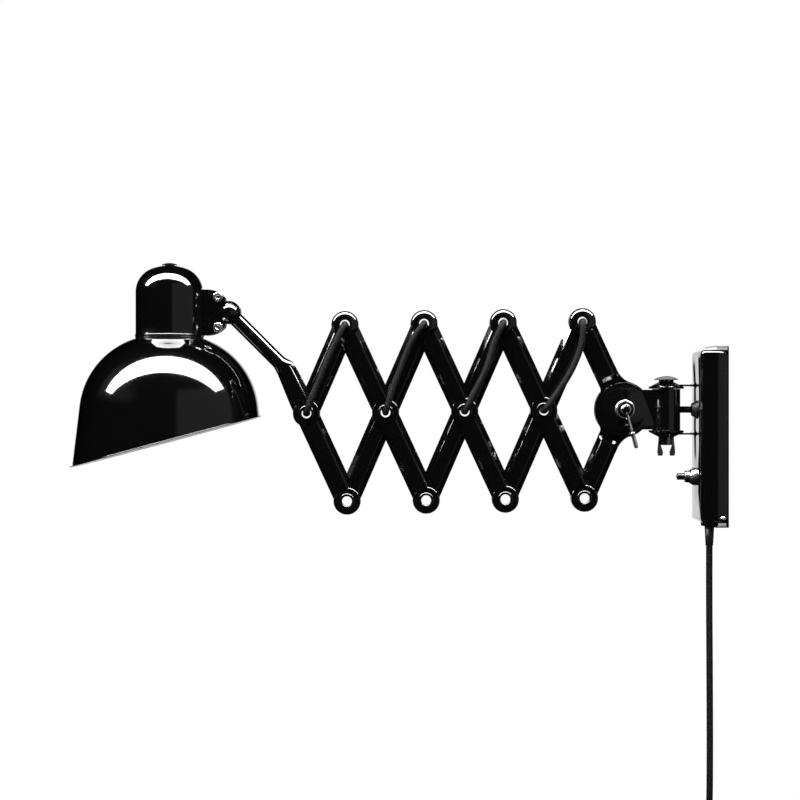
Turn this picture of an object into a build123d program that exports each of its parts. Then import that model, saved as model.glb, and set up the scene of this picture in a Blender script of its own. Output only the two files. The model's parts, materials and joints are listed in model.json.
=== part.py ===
from build123d import *
import math
import os
import numpy as np

# Wall lamp with a scissor arm, in millimetres. X = 0 is the wall, the arm reaches out towards -X
# and +Z is up. Y = 0 is the plane between the arm's links. The hub's spring and its lever lie on
# the -Y side, which is called the front here. The origin is the middle of the wall plate's back.

# Wall plate and cover
PLATE_WIDTH = 66.0
PLATE_HEIGHT = 191.5
PLATE_SHEET = 1.5
FLANGE_DEPTH = 14.7
COVER_HEIGHT = 182.6
COVER_DEPTH = 29.1
COVER_WALL = 1.2
COVER_EDGE = 5.0
SCREW_HOLE_R = 2.5
SCREW_HOLE_SPACING = 120.0
COVER_SCREW_R = 2.6
COVER_SCREW_X = -6.1
COVER_SCREW_FROM_END = 4.8
COVER_SCREW_RISE = 1.1
TAB_INSET = 1.2
TAB_HALF_WIDTH = 4.0
THREAD_R = 1.4

# Fittings on the cover
GROMMET_R = 9.75
GROMMET_NECK_R = 6.0
GROMMET_PROUD = 5.3
GROMMET_FLARE = 0.8
GROMMET_FLARE_DEPTH = 2.0
GROMMET_SWELL = 2.3
GROMMET_BARB = 2.0
GROMMET_TAIL = 2.0
BARREL_Z = -43.2
BARREL_R = 9.35
BARREL_TIP_R = 6.0
BARREL_LENGTH = 12.9
BARREL_THREAD_R = 5.0
BARREL_CHAMFER = 0.6
BUTTON_R = 3.5
BUTTON_PROUD = 8.5
BUTTON_TRAVEL = 3.0
BUTTON_RISE = 1.4
PLUNGER_REACH = 2.0
SWITCH_WIDTH = 22.0
SWITCH_DEPTH = 20.0
SWITCH_CORNER_R = 1.5
PLUNGER_ROOM = 2.0
TERMINAL_LENGTH = 40.0
TERMINAL_HEIGHT = 16.0
TERMINAL_DEPTH = 12.0
TERMINAL_FROM_TOP = 4.0
TERMINAL_BORE_R = 2.0
GLAND_R = 9.25
GLAND_HEIGHT = 4.6
GLAND_X = -15.1
GLAND_SHOULDER = 3.0
GLAND_EASE = 1.8
GLAND_NUT = 2.0
GLAND_TAIL = 5.0

# Swivel bracket and knuckle
SWIVEL_X = -61.3
SWIVEL_Z = 28.3
EAR_SHEET = 1.9
EAR_WIDTH = 22.0
EAR_R = 18.8
EAR_FLAT_R = 8.5
EAR_FLAT_HALF = 29.4
EAR_RIM_HALF = 24.1
EAR_STRAP_HALF = 25.7
EAR_BEAD_R = 2.4
BRACKET_SHEET = 2.5
BRACKET_WIDTH = 40.0
BRACKET_HEIGHT = 74.0
PILLAR_R = 4.0
BRACKET_ROOM = 3.0
SWIVEL_BOLT_R = 4.95
BOLT_HEAD_R = 12.85
BOLT_HEAD_HEIGHT = 4.6
BOLT_COLLAR_R = 8.0
BOLT_COLLAR_HEIGHT = 2.0
BOLT_HEAD_CHAMFER = 0.8
BOLT_FOOT_INSET = 0.8
WING_BOSS_R = 8.4
WING_REACH = 19.8
WING_TIP = 9.6
WING_TIP_WIDTH = 6.4
WING_THICKNESS = 3.4
WING_NOTCH = 8.4
WING_EASE = 0.8
WING_BOSS_DRAFT = 1.6
WING_CORNER_R = 0.7
KNUCKLE_R = 15.0
KNUCKLE_HALF = 21.9
KNUCKLE_COLLAR_R = 7.5
STRAP_HALF = 21.2
STRAP_SHEET = 2.0

# Hub
HUB_X = -107.9
HUB_Z = 28.4
HUB_EAR_R = 28.6
HUB_EAR_GAP = 1.0
HUB_STEP = 2.5
HUB_STEP_R = 20.0
HUB_STEP_BASE_R = 24.5
HUB_BOLT_R = 4.0
HUB_BUSH_R = 9.0
HUB_CAP_R = 14.5
HUB_CAP_HEIGHT = 9.0
HUB_CAP_EASE = 1.6
HUB_BOLT_PROUD = 1.2
SPRING_R = 10.2
SPRING_WIRE_R = 0.9
SPRING_LENGTH = 15.0
SPRING_TURNS = 3.75
SPRING_SEAT_SHEET = 1.0
SPRING_SEAT_R = 9.2
SPRING_KEEPER_R = 8.2
LEVER_EYE_R = 5.3
LEVER_EYE_HEIGHT = 3.0
LEVER_ROD_R = 1.35
LEVER_REACH = 42.0
LEVER_COLLAR_AT = 25.0
LEVER_COLLAR_R = 3.2
LEVER_COLLAR_HEIGHT = 2.2
LEVER_GRIP_R = 2.2
LEVER_LEAN = 15.5

# Scissor
HALF_LINK = 103.0
PITCH = 84.3
CROSSINGS = 4
SAG = 0.7
LINK_SHEET = 1.5
CHANNEL_DEPTH = 6.0
CHANNEL_HALF_WIDTH = 12.3
CHANNEL_BEVEL = 5.8
BOSS_R = 14.5
BOSS_EDGE = 1.8
FRONT_EDGE_Y = -1.0
LINK_GAP = 1.8
HUB_DISC_R = 30.0
CHANNEL_FROM_HUB = 33.0
NECK_FILLET_WALL = 24.0
NECK_FILLET_ROOM = 6.0
RIVET_R = 6.0
RIVET_BORE_R = 5.2
RIVET_LIP_R = 8.3
RIVET_LIP_HEIGHT = 1.25
RIVET_EASE = 0.2
BUSH_R = 8.0
CAP_R = 14.0
CAP_HOLE_R = 5.9
CAP_HEIGHT = 5.0
CAP_SHEET = 1.2
CAP_SHOULDER = 2.5

# Flex
FLEX_R = 3.5
FLEX_OUT = 16.5
FLEX_BACK = 13.5
FLEX_BACK_TURN = 16.0

# Long arm, tube and ball joint
ELBOW_RUN = 51.3
ARM_END_ALONG = 39.3
ARM_END_R = 15.4
ARM_END_HALF_WIDTH = 10.6
TUBE_RUN = 86.3
TUBE_ANGLE = 45.0
TUBE_R = 7.85
TUBE_BORE_R = 6.65
TUBE_MOUTH = 40.0
TUBE_BEND_R = 30.0
HEAD_Y = 2.6
FAIRING_LENGTH = 13.0
FAIRING_THICKNESS = 5.4
FAIRING_LIFT = 0.4
MOUTH_TRIM = 5.0
MOUTH_SLANT = 0.65
BALL_R = 10.0
STEM_WALL = 1.3
STEM_LENGTH = 26.0
JOINT_BOSS_WALL = 2.3

# Head
CLAMP_GAP = 10.6
CLAMP_SHEET = 2.0
CLAMP_HALF_HEIGHT = 24.5
CLAMP_LOBE_R = 8.3
CLAMP_LOBE_X = 11.6
CLAMP_LOBE_Z = 16.2
CLAMP_INNER_END = 37.0
CLAMP_SCREW_R = 2.0
CLAMP_HEAD_R = 5.0
CLAMP_HEAD_HEIGHT = 3.4
CLAMP_HEAD_EASE = 0.6
CLAMP_SOCKET_R = 2.2
CLAMP_SOCKET_FLOOR = 1.2
CLAMP_SHANK_PROUD = 1.0
CLAMP_NUT_R = 4.0
CLAMP_NUT_HEIGHT = 3.0
DOME_OFFSET = 64.1
DOME_R = 36.1
DOME_WALL = 1.2
DOME_TOP = 50.5
DOME_SPRING_LINE = 21.9
DOME_BASE = -26.0
DOME_CROWN_R = 52.5
BEAD_HEIGHT = 2.6
BEAD_PROUD = 0.8
BEAD_EASE = 0.7
KNOB_R = 8.3
KNOB_HEIGHT = 2.6
KNOB_RIM = 0.9
NIPPLE_R = 5.0
SHADE_WALL = 1.0
SHADE_TOP = -27.9
SHADE_TOP_R = 38.0
SHADE_ARC_R = 86.0
SHADE_SLOPE = 6.8
SHADE_ARC_DROP = 71.0
RIM_ANGLE = 15.0
RIM_CENTRE = -137.6
RIM_LIP = 2.6
RIM_LIP_HEIGHT = 1.6
SHADE_SPARE = 60.0
HOLDER_R = 19.5
HOLDER_FLANGE_R = 36.4
HOLDER_MOUTH = -37.0
HOLDER_TOP = 30.0
HOLDER_SOCKET_R = 13.6
HOLDER_SOCKET_TOP = 10.0
HOLDER_TAPER_HEIGHT = 12.0
HOLDER_TAPER = 7.0
RING_R = 27.0
RING_HEIGHT = 5.5
RING_NOTCHES = 12
RING_NOTCH_R = 1.4
RING_NOTCH_OUT = 0.6
BULB_R = 30.0
BULB_CENTRE = -97.0
BULB_NECK_R = 14.0
BULB_NECK_DROP = 6.0
BULB_TOUCH = 38.0
BULB_BASE_R = 13.0
BULB_BASE_TAPER = 4.0
BULB_BASE_GAP = 1.0
BULB_CONTACT_R = 5.0

# Mains cord
CORD_R = 3.5
COIL_OUTER_R = 51.2
COIL_PITCH = 7.6
COIL_TURNS = 6
COIL_TOP_Z = -410.0
COIL_DROP = 90.0
COIL_LEAD = 30.0
COIL_TAIL = 28.0
COIL_TAIL_BEND_R = 40.0
TIE_WIDTH = 10.0
TIE_SHEET = 1.2
PLUG_LENGTH = 34.0
PLUG_WIDTH = 25.0
PLUG_THICKNESS = 13.6
PIN_R = 2.0
PIN_LENGTH = 19.0
PIN_SPACING = 18.6

# Clearances
RUNNING = 0.05
SEAT = 0.3
FLEX_ROOM = 0.2
CUTTER = 60.0

# Sizes that follow from the ones above
FRONT_WEB_Y = FRONT_EDGE_Y - CHANNEL_DEPTH
REAR_WEB_Y = FRONT_EDGE_Y + LINK_GAP
REAR_EDGE_Y = REAR_WEB_Y + CHANNEL_DEPTH
HUB_EAR_INNER = REAR_EDGE_Y + HUB_EAR_GAP
CHANNEL_DRAFT = math.degrees(math.atan(CHANNEL_BEVEL / CHANNEL_DEPTH))
CHANNEL_WALL = LINK_SHEET * math.hypot(CHANNEL_BEVEL, CHANNEL_DEPTH) / CHANNEL_DEPTH
LINK_BORE_R = RIVET_R + RUNNING
HALF_ANGLE = math.asin(PITCH / 2 / HALF_LINK)
LATTICE_HALF_HEIGHT = HALF_LINK * math.cos(HALF_ANGLE)
COVER_FACE_X = -COVER_DEPTH
COVER_INSIDE_X = COVER_WALL - COVER_DEPTH
HUB_EAR_OUTER = HUB_EAR_INNER + STRAP_SHEET
HUB_STEP_FACE = HUB_EAR_OUTER + HUB_STEP
FLEX_CAP_Y = HUB_STEP_FACE + HUB_CAP_HEIGHT / 2
STEM_BORE_R = FLEX_R + FLEX_ROOM
STEM_R = STEM_BORE_R + STEM_WALL
JOINT_BOSS_R = BALL_R + JOINT_BOSS_WALL
GLAND_NECK_R = GLAND_R - GLAND_SHOULDER
SHOULDER_RISE = DOME_SPRING_LINE - DOME_TOP + DOME_CROWN_R
DOME_SHOULDER_R = (DOME_CROWN_R**2 - DOME_R**2 - SHOULDER_RISE**2) / (2 * (DOME_CROWN_R - DOME_R))

os.makedirs("parts", exist_ok=True)


def save(name, *solids):
    """Write one node, a single solid or a group of separate ones."""
    pieces = [piece for solid in solids for piece in solid.solids()]
    shape = pieces[0] if len(pieces) == 1 else Compound(pieces)
    export_step(shape, f"parts/{name}.step")


def spot(x, z, y=0.0):
    """A point given as X and Z in the side view, with its depth."""
    return Vector(x, y, z)


def heading(degrees):
    """Direction in the side view that leans from straight up towards -X."""
    return Vector(-math.sin(math.radians(degrees)), 0, math.cos(math.radians(degrees)))


def front(centre, x_dir=Vector(1, 0, 0)):
    """Plane at a point whose z axis is the way out to the front."""
    return Plane(origin=centre, x_dir=x_dir, z_dir=(0, -1, 0))


def rod(start, end, radius):
    """Round bar between two points."""
    axis = end - start
    place = Plane(origin=start, z_dir=axis)
    return place * Cylinder(radius, axis.length, align=(Align.CENTER, Align.CENTER, Align.MIN))


def ring(place, outer, inner, low, high):
    """Flat ring about the z axis of a plane, between two heights."""
    seat = place * Pos(0, 0, low)
    blank = Cylinder(outer, high - low, align=(Align.CENTER, Align.CENTER, Align.MIN))
    hole = Cylinder(inner, high - low, align=(Align.CENTER, Align.CENTER, Align.MIN))
    return seat * (blank - hole)


def turned(place, *outline):
    """Solid of revolution about a plane's z axis, from lines and arcs in (radius, height)."""
    profile = make_face([edge for curve in outline for edge in (Plane.XZ * curve).edges()])
    return place * revolve(profile, Axis.Z)


def crown(rim_r, low, top):
    """Arc in (radius, height) from a rim up to the axis, centred on the axis."""
    rise = top - low
    arc_r = (rim_r**2 + rise**2) / (2 * rise)
    half = math.asin(rim_r / arc_r) / 2
    middle = (arc_r * math.sin(half), top - arc_r + arc_r * math.cos(half))
    return ThreePointArc((rim_r, low), middle, (0, top))


def box_between(low, high):
    """Box from its lowest to its highest corner."""
    size = Vector(*high) - Vector(*low)
    block = Box(size.X, size.Y, size.Z, align=(Align.MIN, Align.MIN, Align.MIN))
    return Pos(*low) * block


def bend_radius(points, index):
    """Largest bend at a corner of a route that leaves a tenth of its shorter run straight."""
    before = points[index] - points[index - 1]
    after = points[index + 1] - points[index]
    half_turn = math.radians(before.get_angle(after) / 2)
    return 0.45 * min(before.length, after.length) / math.tan(half_turn)


def laid_cord(name, points, radius):
    """Round cord along straight runs and tangent arcs, with its tightest bend printed."""
    radii = [bend_radius(points, index) for index in range(1, len(points) - 1)]
    path = FilletPolyline(*points, radius=radii)
    section = Plane(origin=path @ 0, z_dir=path % 0) * Circle(radius)
    body = sweep(section, path=path)
    expected = math.pi * radius**2 * path.length
    print(f"{name}: length {path.length:.1f}, tightest bend {min(radii):.1f},",
          f"volume {body.volume / expected:.4f} of section x length")
    return body


def biarc(start, start_way, end, end_way):
    """Two tangent arcs from one point and direction to another."""
    gap = end - start
    ways = start_way + end_way
    spread = 2 * (1 - start_way.dot(end_way))
    along = gap.dot(ways)
    reach = (math.sqrt(along**2 + spread * gap.dot(gap)) - along) / spread
    first_control = start + start_way * reach
    second_control = end - end_way * reach
    middle = (first_control + second_control) * 0.5
    middle_way = (second_control - first_control).normalized()
    return [
        TangentArc(start, middle, tangent=start_way),
        TangentArc(middle, end, tangent=middle_way),
    ]


def wound(point_at, first, last, step):
    """Edges of biarcs through a curve given by a function of its angle in degrees."""
    count = round((last - first) / step)
    angles = [first + (last - first) * k / count for k in range(count + 1)]
    nudge = 0.01
    points = [point_at(angle) for angle in angles]
    ways = [(point_at(angle + nudge) - point_at(angle - nudge)).normalized() for angle in angles]
    edges = []
    for k in range(count):
        edges += biarc(points[k], ways[k], points[k + 1], ways[k + 1])
    return edges, points, ways


def wound_body(name, edges, radius, turn_length):
    """One unbroken tube along joined edges, with its length and least gap printed."""
    path = Wire([edge.edge() for edge in edges])
    section = Plane(origin=path @ 0, z_dir=path % 0) * Circle(radius)
    body = sweep(section, path=path)
    expected = math.pi * radius**2 * path.length
    print(f"{name}: length {path.length:.1f}, least gap {least_gap(edges, radius, turn_length):.2f},",
          f"volume {body.volume / expected:.4f} of section x length")
    return body


def least_gap(edges, radius, turn_length, samples=24):
    """Smallest gap of a wound cord to itself, between points more than half a turn apart."""
    spots = np.array([tuple(edge @ (k / samples)) for edge in edges for k in range(samples)])
    steps = np.linalg.norm(np.diff(spots, axis=0), axis=1)
    along = np.concatenate([[0.0], np.cumsum(steps)])
    nearest = 1000.0
    for index, place in enumerate(spots):
        far = along > along[index] + turn_length / 2
        if far.any():
            nearest = min(nearest, np.linalg.norm(spots[far] - place, axis=1).min())
    return nearest - 2 * radius


# Lattice

OUTWARDS = heading(90 + SAG)
UPWARDS = heading(SAG)
HUB = spot(HUB_X, HUB_Z)


def lattice(pitches, rise):
    """Pivot that lies some pitches out from the hub, on the middle, top or bottom line."""
    return HUB + OUTWARDS * (PITCH * pitches) + UPWARDS * (LATTICE_HALF_HEIGHT * rise)


# Crossing 4 is the one beside the hub and crossing 1 the one under the long arm.
MID = {k: lattice(CROSSINGS + 1 - k, 0) for k in range(1, CROSSINGS + 1)}
TOP = {k: lattice(CROSSINGS + 0.5 - k, 1) for k in range(1, CROSSINGS + 1)}
LOW = {k: lattice(CROSSINGS + 0.5 - k, -1) for k in range(1, CROSSINGS + 1)}


# Links

def bosses(stations, radius, height, edge):
    """Round pads with a soft front edge at stations along a link."""
    pad = Cylinder(radius, height, align=(Align.CENTER, Align.CENTER, Align.MIN))
    pad = fillet(pad.edges().sort_by(Axis.Z)[-1], edge)
    return [Pos(x, 0, 0) * pad for x in stations]


def pressed(outline, stations):
    """Channel pressed from sheet over an outline of its open edge, with pads at the pivots."""
    outer = extrude(outline, CHANNEL_DEPTH, taper=CHANNEL_DRAFT)
    inner_depth = CHANNEL_DEPTH - LINK_SHEET
    inner = extrude(offset(outline, -CHANNEL_WALL, kind=Kind.INTERSECTION), inner_depth,
                    taper=CHANNEL_DRAFT)
    outer += bosses(stations, BOSS_R, CHANNEL_DEPTH, BOSS_EDGE)
    inner += bosses(stations, BOSS_R - LINK_SHEET, inner_depth, BOSS_EDGE - LINK_SHEET / 2)
    return outer, inner


def bored(blank, stations, radius=LINK_BORE_R):
    """Blank with a through hole at each pivot."""
    for x in stations:
        blank -= Pos(x, 0, 0) * Cylinder(radius, 4 * CHANNEL_DEPTH)
    return blank


def bar_outline(start, end):
    """Straight outline of a link's open edge between two stations."""
    bar = Rectangle(end - start, 2 * CHANNEL_HALF_WIDTH, align=(Align.MIN, Align.CENTER))
    return Pos(start, 0) * bar


def link(start, end, edge_y, stations):
    """Straight link whose stations are measured from its first pivot."""
    outer, inner = pressed(bar_outline(stations[0], stations[-1]), stations)
    return front(start + Vector(0, edge_y, 0), end - start) * bored(outer - inner, stations)


def hub_link(end, edge_y, wall_side):
    """Half link that starts in a flat disc at the hub. wall_side is the sign of its local y."""
    length = (end - HUB).length
    neck_length = CHANNEL_FROM_HUB + CHANNEL_HALF_WIDTH
    neck = Circle(HUB_DISC_R) + bar_outline(0, neck_length)
    corner_x = math.sqrt(HUB_DISC_R**2 - CHANNEL_HALF_WIDTH**2)
    for side, radius in ((wall_side, NECK_FILLET_WALL), (-wall_side, NECK_FILLET_ROOM)):
        corner = Vector(corner_x, side * CHANNEL_HALF_WIDTH, 0)
        neck = fillet(neck.vertices().sort_by_distance(corner)[0], radius)
    plate = extrude(neck, LINK_SHEET)
    outer, inner = pressed(bar_outline(CHANNEL_FROM_HUB, length), [length])
    blank = bored(outer + plate - inner, [length])
    blank = bored(blank, [0], HUB_BOLT_R + RUNNING)
    return front(HUB + Vector(0, edge_y, 0), end - HUB) * blank


def long_arm():
    """First front link, which narrows past its middle pivot and ends in an arc at the tube."""
    waist = HALF_LINK + BOSS_R
    tip = HALF_LINK + ARM_END_ALONG + ARM_END_R
    outline = Polygon(
        (0, -CHANNEL_HALF_WIDTH),
        (waist, -CHANNEL_HALF_WIDTH),
        (tip, -ARM_END_HALF_WIDTH),
        (tip, ARM_END_HALF_WIDTH),
        (waist, CHANNEL_HALF_WIDTH),
        (0, CHANNEL_HALF_WIDTH),
        align=None,
    )
    stations = [0, HALF_LINK]
    grown = outline + Pos(tip, 0) * Rectangle(4 * CHANNEL_BEVEL, 2 * ARM_END_HALF_WIDTH)
    outer, inner = pressed(grown, stations)
    reach = HALF_LINK + ARM_END_ALONG
    kept = Pos(-BOSS_R, 0) * Rectangle(reach + BOSS_R, 4 * BOSS_R, align=(Align.MIN, Align.CENTER))
    kept += Pos(reach, 0) * Circle(ARM_END_R)
    blank = bored(outer - inner, stations) & extrude(kept, CHANNEL_DEPTH)
    return front(LOW[1] + Vector(0, FRONT_EDGE_Y, 0), MID[1] - LOW[1]) * blank


FULL = [0, HALF_LINK, 2 * HALF_LINK]
save("link_upper", hub_link(TOP[4], FRONT_EDGE_Y, -1))
save("link_lower", hub_link(LOW[4], REAR_EDGE_Y, 1))
for k in (4, 3, 2):
    save(f"link_front_{k}", link(LOW[k], TOP[k - 1], FRONT_EDGE_Y, FULL))
    save(f"link_rear_{k}", link(LOW[k - 1], TOP[k], REAR_EDGE_Y, FULL))
save("link_rear_1", link(MID[1], TOP[1], REAR_EDGE_Y, FULL[:2]))
save("long_arm", long_arm())


# Rivets, bushes and caps

RIVET_FRONT = -FRONT_WEB_Y + RUNNING
RIVET_BACK = -(REAR_WEB_Y + LINK_SHEET) - RUNNING


def rivet(pivot):
    """Hollow rivet with a rolled lip at each end, and the bush between the two webs."""
    lip_middle = (RIVET_LIP_R + RIVET_BORE_R) / 2
    front_inner = RIVET_FRONT + RIVET_EASE
    back_inner = RIVET_BACK - RIVET_EASE
    tube = turned(
        front(pivot),
        Line((RIVET_BORE_R, back_inner), (RIVET_BORE_R, front_inner)),
        ThreePointArc((RIVET_BORE_R, front_inner), (lip_middle, RIVET_FRONT + RIVET_LIP_HEIGHT),
                      (RIVET_LIP_R, RIVET_FRONT)),
        Polyline((RIVET_LIP_R, RIVET_FRONT), (RIVET_R, RIVET_FRONT), (RIVET_R, RIVET_BACK),
                 (RIVET_LIP_R, RIVET_BACK)),
        ThreePointArc((RIVET_LIP_R, RIVET_BACK), (lip_middle, RIVET_BACK - RIVET_LIP_HEIGHT),
                      (RIVET_BORE_R, back_inner)),
    )
    low = -REAR_WEB_Y + RUNNING
    high = -FRONT_WEB_Y - LINK_SHEET - RUNNING
    return [tube, ring(front(pivot), BUSH_R, LINK_BORE_R, low, high)]


def cap(pivot):
    """Domed cap over a top pivot, with the hole that the flex comes out of."""
    base = RIVET_FRONT
    top = base + CAP_HEIGHT
    return turned(
        front(pivot),
        ThreePointArc((CAP_R, base), (CAP_R - CAP_SHOULDER, base + 0.72 * CAP_HEIGHT), (CAP_HOLE_R, top)),
        Line((CAP_HOLE_R, top), (CAP_HOLE_R, top - CAP_SHEET)),
        ThreePointArc((CAP_HOLE_R, top - CAP_SHEET),
                      (CAP_R - CAP_SHOULDER - CAP_SHEET, base + 0.5 * CAP_HEIGHT),
                      (CAP_R - CAP_SHEET, base)),
        Line((CAP_R - CAP_SHEET, base), (CAP_R, base)),
    )


for k in (4, 3, 2):
    save(f"rivets_{k}", *rivet(TOP[k]), cap(TOP[k]), *rivet(MID[k]), *rivet(LOW[k - 1]))
save("rivets_1", *rivet(TOP[1]), cap(TOP[1]), *rivet(MID[1]))
save("rivet_lower", *rivet(LOW[4]))


# Flex along the scissor

def beside(start, end, share, side, depth):
    """Point a share of the way along a line in the side view, moved sideways and in depth."""
    way = (end - start).normalized()
    across = Vector(-way.Z, 0, way.X)
    return start + (end - start) * share + across * side + Vector(0, depth, 0)


# Each bow is a share of the way from a middle pivot up to the top pivot and a step sideways.
FRONT_BOWS = {
    1: [(0.30, 1.2), (0.68, 1.8)],
    2: [(0.24, 2.8), (0.50, 4.3), (0.78, 5.4)],
    3: [(0.22, -1.2), (0.50, -3.2), (0.78, 1.6)],
    4: [(0.22, -5.0), (0.50, -9.6), (0.78, -8.6)],
}
for k, bows in FRONT_BOWS.items():
    route = [MID[k], beside(MID[k], TOP[k], 0.0, 0.0, -FLEX_OUT)]
    route += [beside(MID[k], TOP[k], share, side, -FLEX_OUT) for share, side in bows]
    route += [beside(MID[k], TOP[k], 1.0, 0.0, -FLEX_OUT - 0.5), TOP[k]]
    save(f"flex_front_{k}", laid_cord(f"flex_front_{k}", route, FLEX_R))

BACK_BOWS = [(0.25, -2.2), (0.52, -3.4), (0.78, -1.8)]
for k in (4, 3, 2):
    route = [MID[k], beside(MID[k], TOP[k - 1], 0.0, 0.0, FLEX_BACK_TURN)]
    route += [beside(MID[k], TOP[k - 1], share, side, FLEX_BACK) for share, side in BACK_BOWS]
    route += [beside(MID[k], TOP[k - 1], 1.0, 0.0, FLEX_BACK_TURN), TOP[k - 1]]
    save(f"flex_back_{k}", laid_cord(f"flex_back_{k}", route, FLEX_R))

hub_exit = (HUB_CAP_R + SEAT / 2) / HALF_LINK
route = [
    beside(HUB, TOP[4], hub_exit, 0.0, FLEX_CAP_Y),
    beside(HUB, TOP[4], 0.30, 0.0, FLEX_CAP_Y + 0.3),
    beside(HUB, TOP[4], 0.52, 2.6, FLEX_CAP_Y - 1.8),
    beside(HUB, TOP[4], 0.78, 2.0, FLEX_BACK + 0.8),
    beside(HUB, TOP[4], 1.0, 0.0, FLEX_BACK_TURN),
    TOP[4],
]
save("flex_back_hub", laid_cord("flex_back_hub", route, FLEX_R))


# Wall plate and cover

def back_plate():
    """Thin plate with folded ends and two tabs that take the cover's screws."""
    half_h = PLATE_HEIGHT / 2
    half_w = PLATE_WIDTH / 2
    plate = box_between((-PLATE_SHEET, -half_w, -half_h), (0, half_w, half_h))
    for side in (-1, 1):
        folded = box_between((-FLANGE_DEPTH, -half_w, half_h - PLATE_SHEET), (0, half_w, half_h))
        plate += folded if side > 0 else mirror(folded, about=Plane.XY)
    plate = fillet(plate.edges().filter_by(Axis.X).group_by(SortBy.LENGTH)[-1], COVER_EDGE / 4)
    tab_y = half_w - COVER_WALL - TAB_INSET
    tab_z = -COVER_HEIGHT / 2 + COVER_SCREW_FROM_END
    for side in (-1, 1):
        tab = box_between((COVER_SCREW_X - TAB_HALF_WIDTH, 0, tab_z - TAB_HALF_WIDTH / 2),
                          (-PLATE_SHEET, PLATE_SHEET, tab_z + 1.5 * TAB_HALF_WIDTH))
        tab -= Pos(COVER_SCREW_X, 0, tab_z) * Rot(90, 0, 0) * Cylinder(THREAD_R, 4 * PLATE_SHEET)
        placed = Pos(0, tab_y - PLATE_SHEET, 0) * tab
        plate += placed if side > 0 else mirror(placed, about=Plane.XZ)
    for side in (-1, 1):
        hole = Rot(0, 90, 0) * Cylinder(SCREW_HOLE_R, 6 * PLATE_SHEET)
        plate -= Pos(0, 0, side * SCREW_HOLE_SPACING / 2) * hole
    gland_room = Cylinder(GLAND_R + SEAT, 6 * PLATE_SHEET)
    return plate - Pos(GLAND_X, 0, -half_h) * gland_room


def cover_box(inset, depth):
    """Box of the cover with rounded edges, open towards the wall."""
    block = box_between(
        (-depth, -PLATE_WIDTH / 2 + inset, -COVER_HEIGHT / 2 + inset),
        (-PLATE_SHEET, PLATE_WIDTH / 2 - inset, COVER_HEIGHT / 2 - inset),
    )
    edges = block.edges().filter_by(Axis.X) + block.faces().sort_by(Axis.X)[0].edges()
    return fillet(edges, COVER_EDGE - inset)


def through_x(x, y, z, radius, length=8 * COVER_WALL):
    """Cutter for a round hole along X."""
    return Pos(x, y, z) * Rot(0, 90, 0) * Cylinder(radius, length)


def cover():
    """Deep cover with the openings for the bracket's ears and for the fittings."""
    shell = cover_box(0, COVER_DEPTH) - cover_box(COVER_WALL, COVER_DEPTH - COVER_WALL)
    for side in (-1, 1):
        z = SWIVEL_Z + side * EAR_STRAP_HALF
        slot = Box(8 * COVER_WALL, EAR_WIDTH + 2 * SEAT, EAR_SHEET + 2 * SEAT)
        shell -= Pos(COVER_FACE_X, 0, z) * slot
    shell -= through_x(COVER_FACE_X, 0, SWIVEL_Z, GROMMET_NECK_R + SEAT)
    shell -= through_x(COVER_FACE_X, 0, BARREL_Z, BARREL_THREAD_R + RUNNING)
    shell -= Pos(GLAND_X, 0, -COVER_HEIGHT / 2) * Cylinder(GLAND_NECK_R + SEAT, 4 * COVER_WALL)
    screw_z = -COVER_HEIGHT / 2 + COVER_SCREW_FROM_END
    for side in (-1, 1):
        hole = Rot(90, 0, 0) * Cylinder(THREAD_R + SEAT, 4 * COVER_WALL)
        shell -= Pos(COVER_SCREW_X, side * PLATE_WIDTH / 2, screw_z) * hole
    return shell


def cover_screw(side):
    """Small screw with a flat domed head on one side of the cover."""
    z = -COVER_HEIGHT / 2 + COVER_SCREW_FROM_END
    place = Plane(origin=(COVER_SCREW_X, side * PLATE_WIDTH / 2, z), z_dir=(0, side, 0))
    shank = THREAD_R - RUNNING
    reach = -COVER_WALL - TAB_INSET - 2 * PLATE_SHEET
    return turned(
        place,
        Polyline((0, COVER_SCREW_RISE), (0, reach), (shank, reach), (shank, 0), (COVER_SCREW_R, 0)),
        crown(COVER_SCREW_R, 0, COVER_SCREW_RISE),
    )


save("back_plate", back_plate())
save("cover", cover())
save("cover_screws", cover_screw(-1), cover_screw(1))


# Fittings on the cover

OUT_OF_FACE = Plane(origin=(COVER_FACE_X, 0, SWIVEL_Z), z_dir=(-1, 0, 0))


def grommet():
    """Rubber grommet that guides the flex through the face."""
    neck = GROMMET_NECK_R
    bore = FLEX_R + RUNNING
    inner = -COVER_WALL - GROMMET_TAIL
    return turned(
        OUT_OF_FACE,
        Polyline((bore, inner), (bore, GROMMET_PROUD - GROMMET_FLARE_DEPTH),
                 (bore + GROMMET_FLARE, GROMMET_PROUD), (neck, GROMMET_PROUD)),
        ThreePointArc((neck, GROMMET_PROUD), (neck + GROMMET_SWELL, 0.62 * GROMMET_PROUD), (GROMMET_R, 0)),
        Polyline((GROMMET_R, 0), (neck, 0), (neck, -COVER_WALL),
                 (neck + GROMMET_BARB, -COVER_WALL), (neck + GROMMET_BARB / 2, inner), (bore, inner)),
    )


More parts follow.
